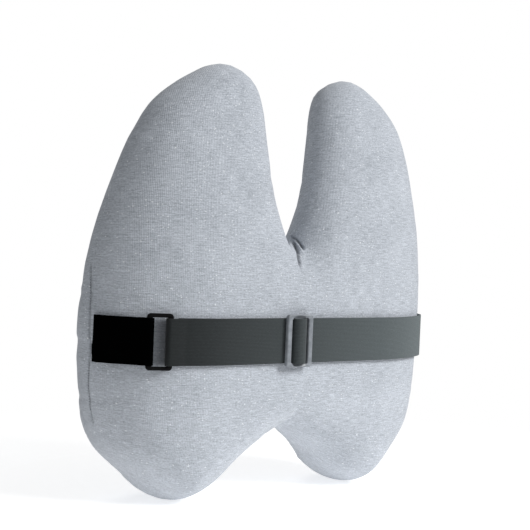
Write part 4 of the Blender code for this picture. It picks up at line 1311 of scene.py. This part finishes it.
def metal_material(colour):
    """Plated metal with fine brushing and a few dull patches."""
    f = Finish("zip_plating", 0.3, Metallic=1.0)
    place = f.object_mm()
    brush = f.noise(f.mapped(place, (1.0, 1.0, 9.0)), 1.0, 2.0, 0.5)
    dull = f.noise(place, 0.5, 3.0, 0.6)
    tone = f.mix(f.remap(dull, 0.4, 0.7), colour, [c * 0.72 for c in colour])
    return f.paint(tone, brush, 0.08, 0.0001, f.remap(dull, 0.35, 0.7, 0.24, 0.42))


def thread_material(name, colour):
    """Twisted sewing thread."""
    f = Finish(name, 0.75, Sheen_Weight=0.2)
    place = f.object_mm()
    twist = f.noise(place, 3.5, 2.0, 0.5)
    return f.paint(f.mix(twist, [c * 0.7 for c in colour], colour), twist, 0.3, 0.0001)


def foam_material():
    """Open-cell foam: small pores and a slightly yellowed, uneven tone."""
    f = Finish("open_cell_foam", 0.95, Subsurface_Weight=0.08)
    place = f.object_mm()
    pores = f.node("ShaderNodeTexVoronoi", {"Vector": place, "Scale": 0.7}).outputs["Distance"]
    tone = f.noise(place, 0.03, 3.0, 0.5)
    colour = f.mix(tone, (0.90, 0.85, 0.68), (0.95, 0.92, 0.80))
    # Painted shade: the colour is darker in the pores' hollows.
    colour = f.mix(f.remap(pores, 0.25, 0.0, 0.0, 0.5), colour, (0.62, 0.55, 0.40))
    return f.paint(colour, pores, 0.5, 0.0005)


def cloth_material(name, light, dark, pitch):
    """Thin plain-woven cloth."""
    f = Finish(name, 0.9, Sheen_Weight=0.1)
    place = f.object_mm()
    parts = f.node("ShaderNodeSeparateXYZ", {"Vector": place})
    over = f.math("SINE", f.math("MULTIPLY", parts.outputs[0], math.tau / pitch))
    under = f.math("SINE", f.math("MULTIPLY", parts.outputs[2], math.tau / pitch))
    weave = f.math("MULTIPLY", over, under)
    tone = f.noise(place, 0.2, 3.0, 0.6)
    colour = f.mix(f.remap(tone, 0.3, 0.7), dark, light)
    return f.paint(colour, weave, 0.35, 0.0002)


def make_inner():
    """Finishes of the foam, its liner and the reinforcements behind the strap's ends."""
    repaint("foam_core", foam_material())
    liner = cloth_material("liner_weave", (0.86, 0.86, 0.84), (0.78, 0.78, 0.75), 0.9)
    for node in ("liner_back", "liner_front"):
        repaint(node, liner)
    felt = cloth_material("patch_felt", (0.74, 0.74, 0.73), (0.66, 0.66, 0.65), 1.7)
    for node in ("patch_left", "patch_right"):
        repaint(node, felt)


# ---- stage -------------------------------------------------------------------------------
def floor_material():
    """Pale floor that melts into the white background away from the cushion."""
    f = Finish("pale_floor", 0.85, Emission_Strength=0.5)
    f.shader.inputs["Emission Color"].default_value = (1.0, 1.0, 1.0, 1.0)
    place = f.node("ShaderNodeTexCoord").outputs["Object"]
    tone = f.noise(place, 3.0, 2.0, 0.5)
    far = f.node("ShaderNodeVectorMath", {0: place}, operation="LENGTH").outputs["Value"]
    f.tree.links.new(f.remap(far, 0.2, 0.6, 1.0, 0.0), f.shader.inputs["Alpha"])
    return f.paint(f.mix(tone, (0.93, 0.93, 0.935), (0.95, 0.95, 0.95)))


def outwards(a, e):
    """From the cushion towards a viewer at azimuth a and elevation e, in radians."""
    return Vector((math.sin(a) * math.cos(e), -math.cos(a) * math.cos(e), math.sin(e)))


def soft_light(name, size, power, azimuth, elevation, distance, target):
    lamp = bpy.data.lights.new(name, "AREA")
    lamp.shape = "DISK"
    lamp.size = size
    lamp.energy = power
    holder = bpy.data.objects.new(name, lamp)
    back = outwards(math.radians(azimuth), math.radians(elevation))
    holder.location = target + back * distance
    holder.rotation_euler = back.to_track_quat("Z", "Y").to_euler()
    bpy.context.scene.collection.objects.link(holder)


def make_stage(stage):
    scene = bpy.context.scene
    low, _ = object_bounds()
    bm = bmesh.new()
    bmesh.ops.create_circle(bm, cap_ends=True, radius=FLOOR_RADIUS, segments=96)
    bmesh.ops.translate(bm, verts=bm.verts[:], vec=(0, 0, low.z))
    mesh = bpy.data.meshes.new("floor")
    bm.to_mesh(mesh)
    bm.free()
    mesh.materials.append(floor_material())
    floor = bpy.data.objects.new("floor", mesh)
    scene.collection.objects.link(floor)
    floor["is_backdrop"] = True

    world = bpy.data.worlds.new("studio")
    world.use_nodes = True
    tree = world.node_tree
    light = tree.nodes["Background"]
    light.inputs["Color"].default_value = (0.97, 0.985, 1.0, 1.0)
    light.inputs["Strength"].default_value = stage.fill_light
    seen = tree.nodes.new("ShaderNodeBackground")
    seen.inputs["Color"].default_value = (1.0, 1.0, 1.0, 1.0)
    ray = tree.nodes.new("ShaderNodeLightPath")
    mix = tree.nodes.new("ShaderNodeMixShader")
    tree.links.new(ray.outputs["Is Camera Ray"], mix.inputs[0])
    tree.links.new(light.outputs[0], mix.inputs[1])
    tree.links.new(seen.outputs[0], mix.inputs[2])
    tree.links.new(mix.outputs[0], tree.nodes["World Output"].inputs["Surface"])
    scene.world = world
    scene.view_settings.view_transform = "Standard"

    middle = at_place(0.0, 190.0, 0.0)
    soft_light("key", 0.9, stage.key_power, 30.0, 32.0, 1.9, middle)
    soft_light("rim", 1.2, stage.key_power * 0.25, 150.0, 40.0, 2.2, middle)

    q = stage.roll
    back = outwards(stage.azimuth, stage.elevation)
    right = (-back).cross(Vector((0, 0, 1))).normalized()
    up = right.cross(-back)
    across = right * math.cos(q) + up * math.sin(q)
    above = up * math.cos(q) - right * math.sin(q)
    lens = bpy.data.cameras.new("camera")
    lens.lens = stage.lens
    lens.sensor_width = 36.0
    lens.shift_x, lens.shift_y = LENS_SHIFT
    lens.dof.use_dof = False
    camera = bpy.data.objects.new("camera", lens)
    target = Vector(CAMERA_TARGET)
    place = target + back * stage.distance
    camera.matrix_world = Matrix.Translation(place) @ Matrix(
        (across, above, back)
    ).transposed().to_4x4()
    scene.collection.objects.link(camera)
    scene.camera = camera


# ---- operators ---------------------------------------------------------------------------
class CUSHION_OT_cover(bpy.types.Operator):
    """Make the padded knit cover"""

    bl_idname = "cushion.cover"
    bl_label = "Make Cover"

    def execute(self, context):
        make_cover(context.scene.cushion_cover)
        return {"FINISHED"}


class CUSHION_OT_inner(bpy.types.Operator):
    """Finish the foam, the liner and the reinforcements inside the cover"""

    bl_idname = "cushion.inner"
    bl_label = "Finish Inner Layers"

    def execute(self, context):
        make_inner()
        return {"FINISHED"}


class CUSHION_OT_strap(bpy.types.Operator):
    """Make the elastic strap"""

    bl_idname = "cushion.strap"
    bl_label = "Make Strap"

    def execute(self, context):
        make_strap(context.scene.cushion_cover, context.scene.cushion_strap)
        return {"FINISHED"}


class CUSHION_OT_hardware(bpy.types.Operator):
    """Make the ring and the tri-glide"""

    bl_idname = "cushion.hardware"
    bl_label = "Make Ring and Tri-glide"

    def execute(self, context):
        make_hardware(context.scene.cushion_cover, context.scene.cushion_strap)
        return {"FINISHED"}


class CUSHION_OT_zip(bpy.types.Operator):
    """Make the zip in the right-hand side"""

    bl_idname = "cushion.zip"
    bl_label = "Make Zip"

    def execute(self, context):
        make_zip(context.scene.cushion_cover, context.scene.cushion_zip)
        return {"FINISHED"}


class CUSHION_OT_stitches(bpy.types.Operator):
    """Sew the darts and the zip's hems"""

    bl_idname = "cushion.stitches"
    bl_label = "Sew Stitches"

    def execute(self, context):
        make_stitches(context.scene.cushion_cover)
        return {"FINISHED"}


class CUSHION_OT_stage(bpy.types.Operator):
    """Set the floor, the light and the camera"""

    bl_idname = "cushion.stage"
    bl_label = "Set Stage"

    def execute(self, context):
        make_stage(context.scene.cushion_stage)
        return {"FINISHED"}


class CUSHION_PT_panel(bpy.types.Panel):
    """Lists the cushion's pieces and settings"""

    bl_idname = "CUSHION_PT_panel"
    bl_label = "Lumbar Cushion"
    bl_space_type = "VIEW_3D"
    bl_region_type = "UI"
    bl_category = "Cushion"

    def draw(self, context):
        for name, group in SETTINGS.items():
            box = self.layout.box()
            for key in group.__annotations__:
                box.prop(getattr(context.scene, name), key)
        for operator in OPERATORS:
            self.layout.operator(operator.bl_idname)


SETTINGS = {
    "cushion_cover": CushionCover,
    "cushion_strap": CushionStrap,
    "cushion_zip": CushionZip,
    "cushion_stage": CushionStage,
}
OPERATORS = (
    CUSHION_OT_cover,
    CUSHION_OT_inner,
    CUSHION_OT_strap,
    CUSHION_OT_hardware,
    CUSHION_OT_zip,
    CUSHION_OT_stitches,
    CUSHION_OT_stage,
)


def register():
    for group in SETTINGS.values():
        bpy.utils.register_class(group)
    for name, group in SETTINGS.items():
        setattr(bpy.types.Scene, name, bpy.props.PointerProperty(type=group))
    for operator in OPERATORS:
        bpy.utils.register_class(operator)
    bpy.utils.register_class(CUSHION_PT_panel)


def unregister():
    bpy.utils.unregister_class(CUSHION_PT_panel)
    for operator in reversed(OPERATORS):
        bpy.utils.unregister_class(operator)
    for name, group in SETTINGS.items():
        delattr(bpy.types.Scene, name)
        bpy.utils.unregister_class(group)


def main():
    register()
    bpy.ops.cushion.cover()
    bpy.ops.cushion.inner()
    bpy.ops.cushion.strap()
    bpy.ops.cushion.hardware()
    bpy.ops.cushion.zip()
    bpy.ops.cushion.stitches()
    bpy.ops.cushion.stage()


if __name__ == "__main__":
    main()
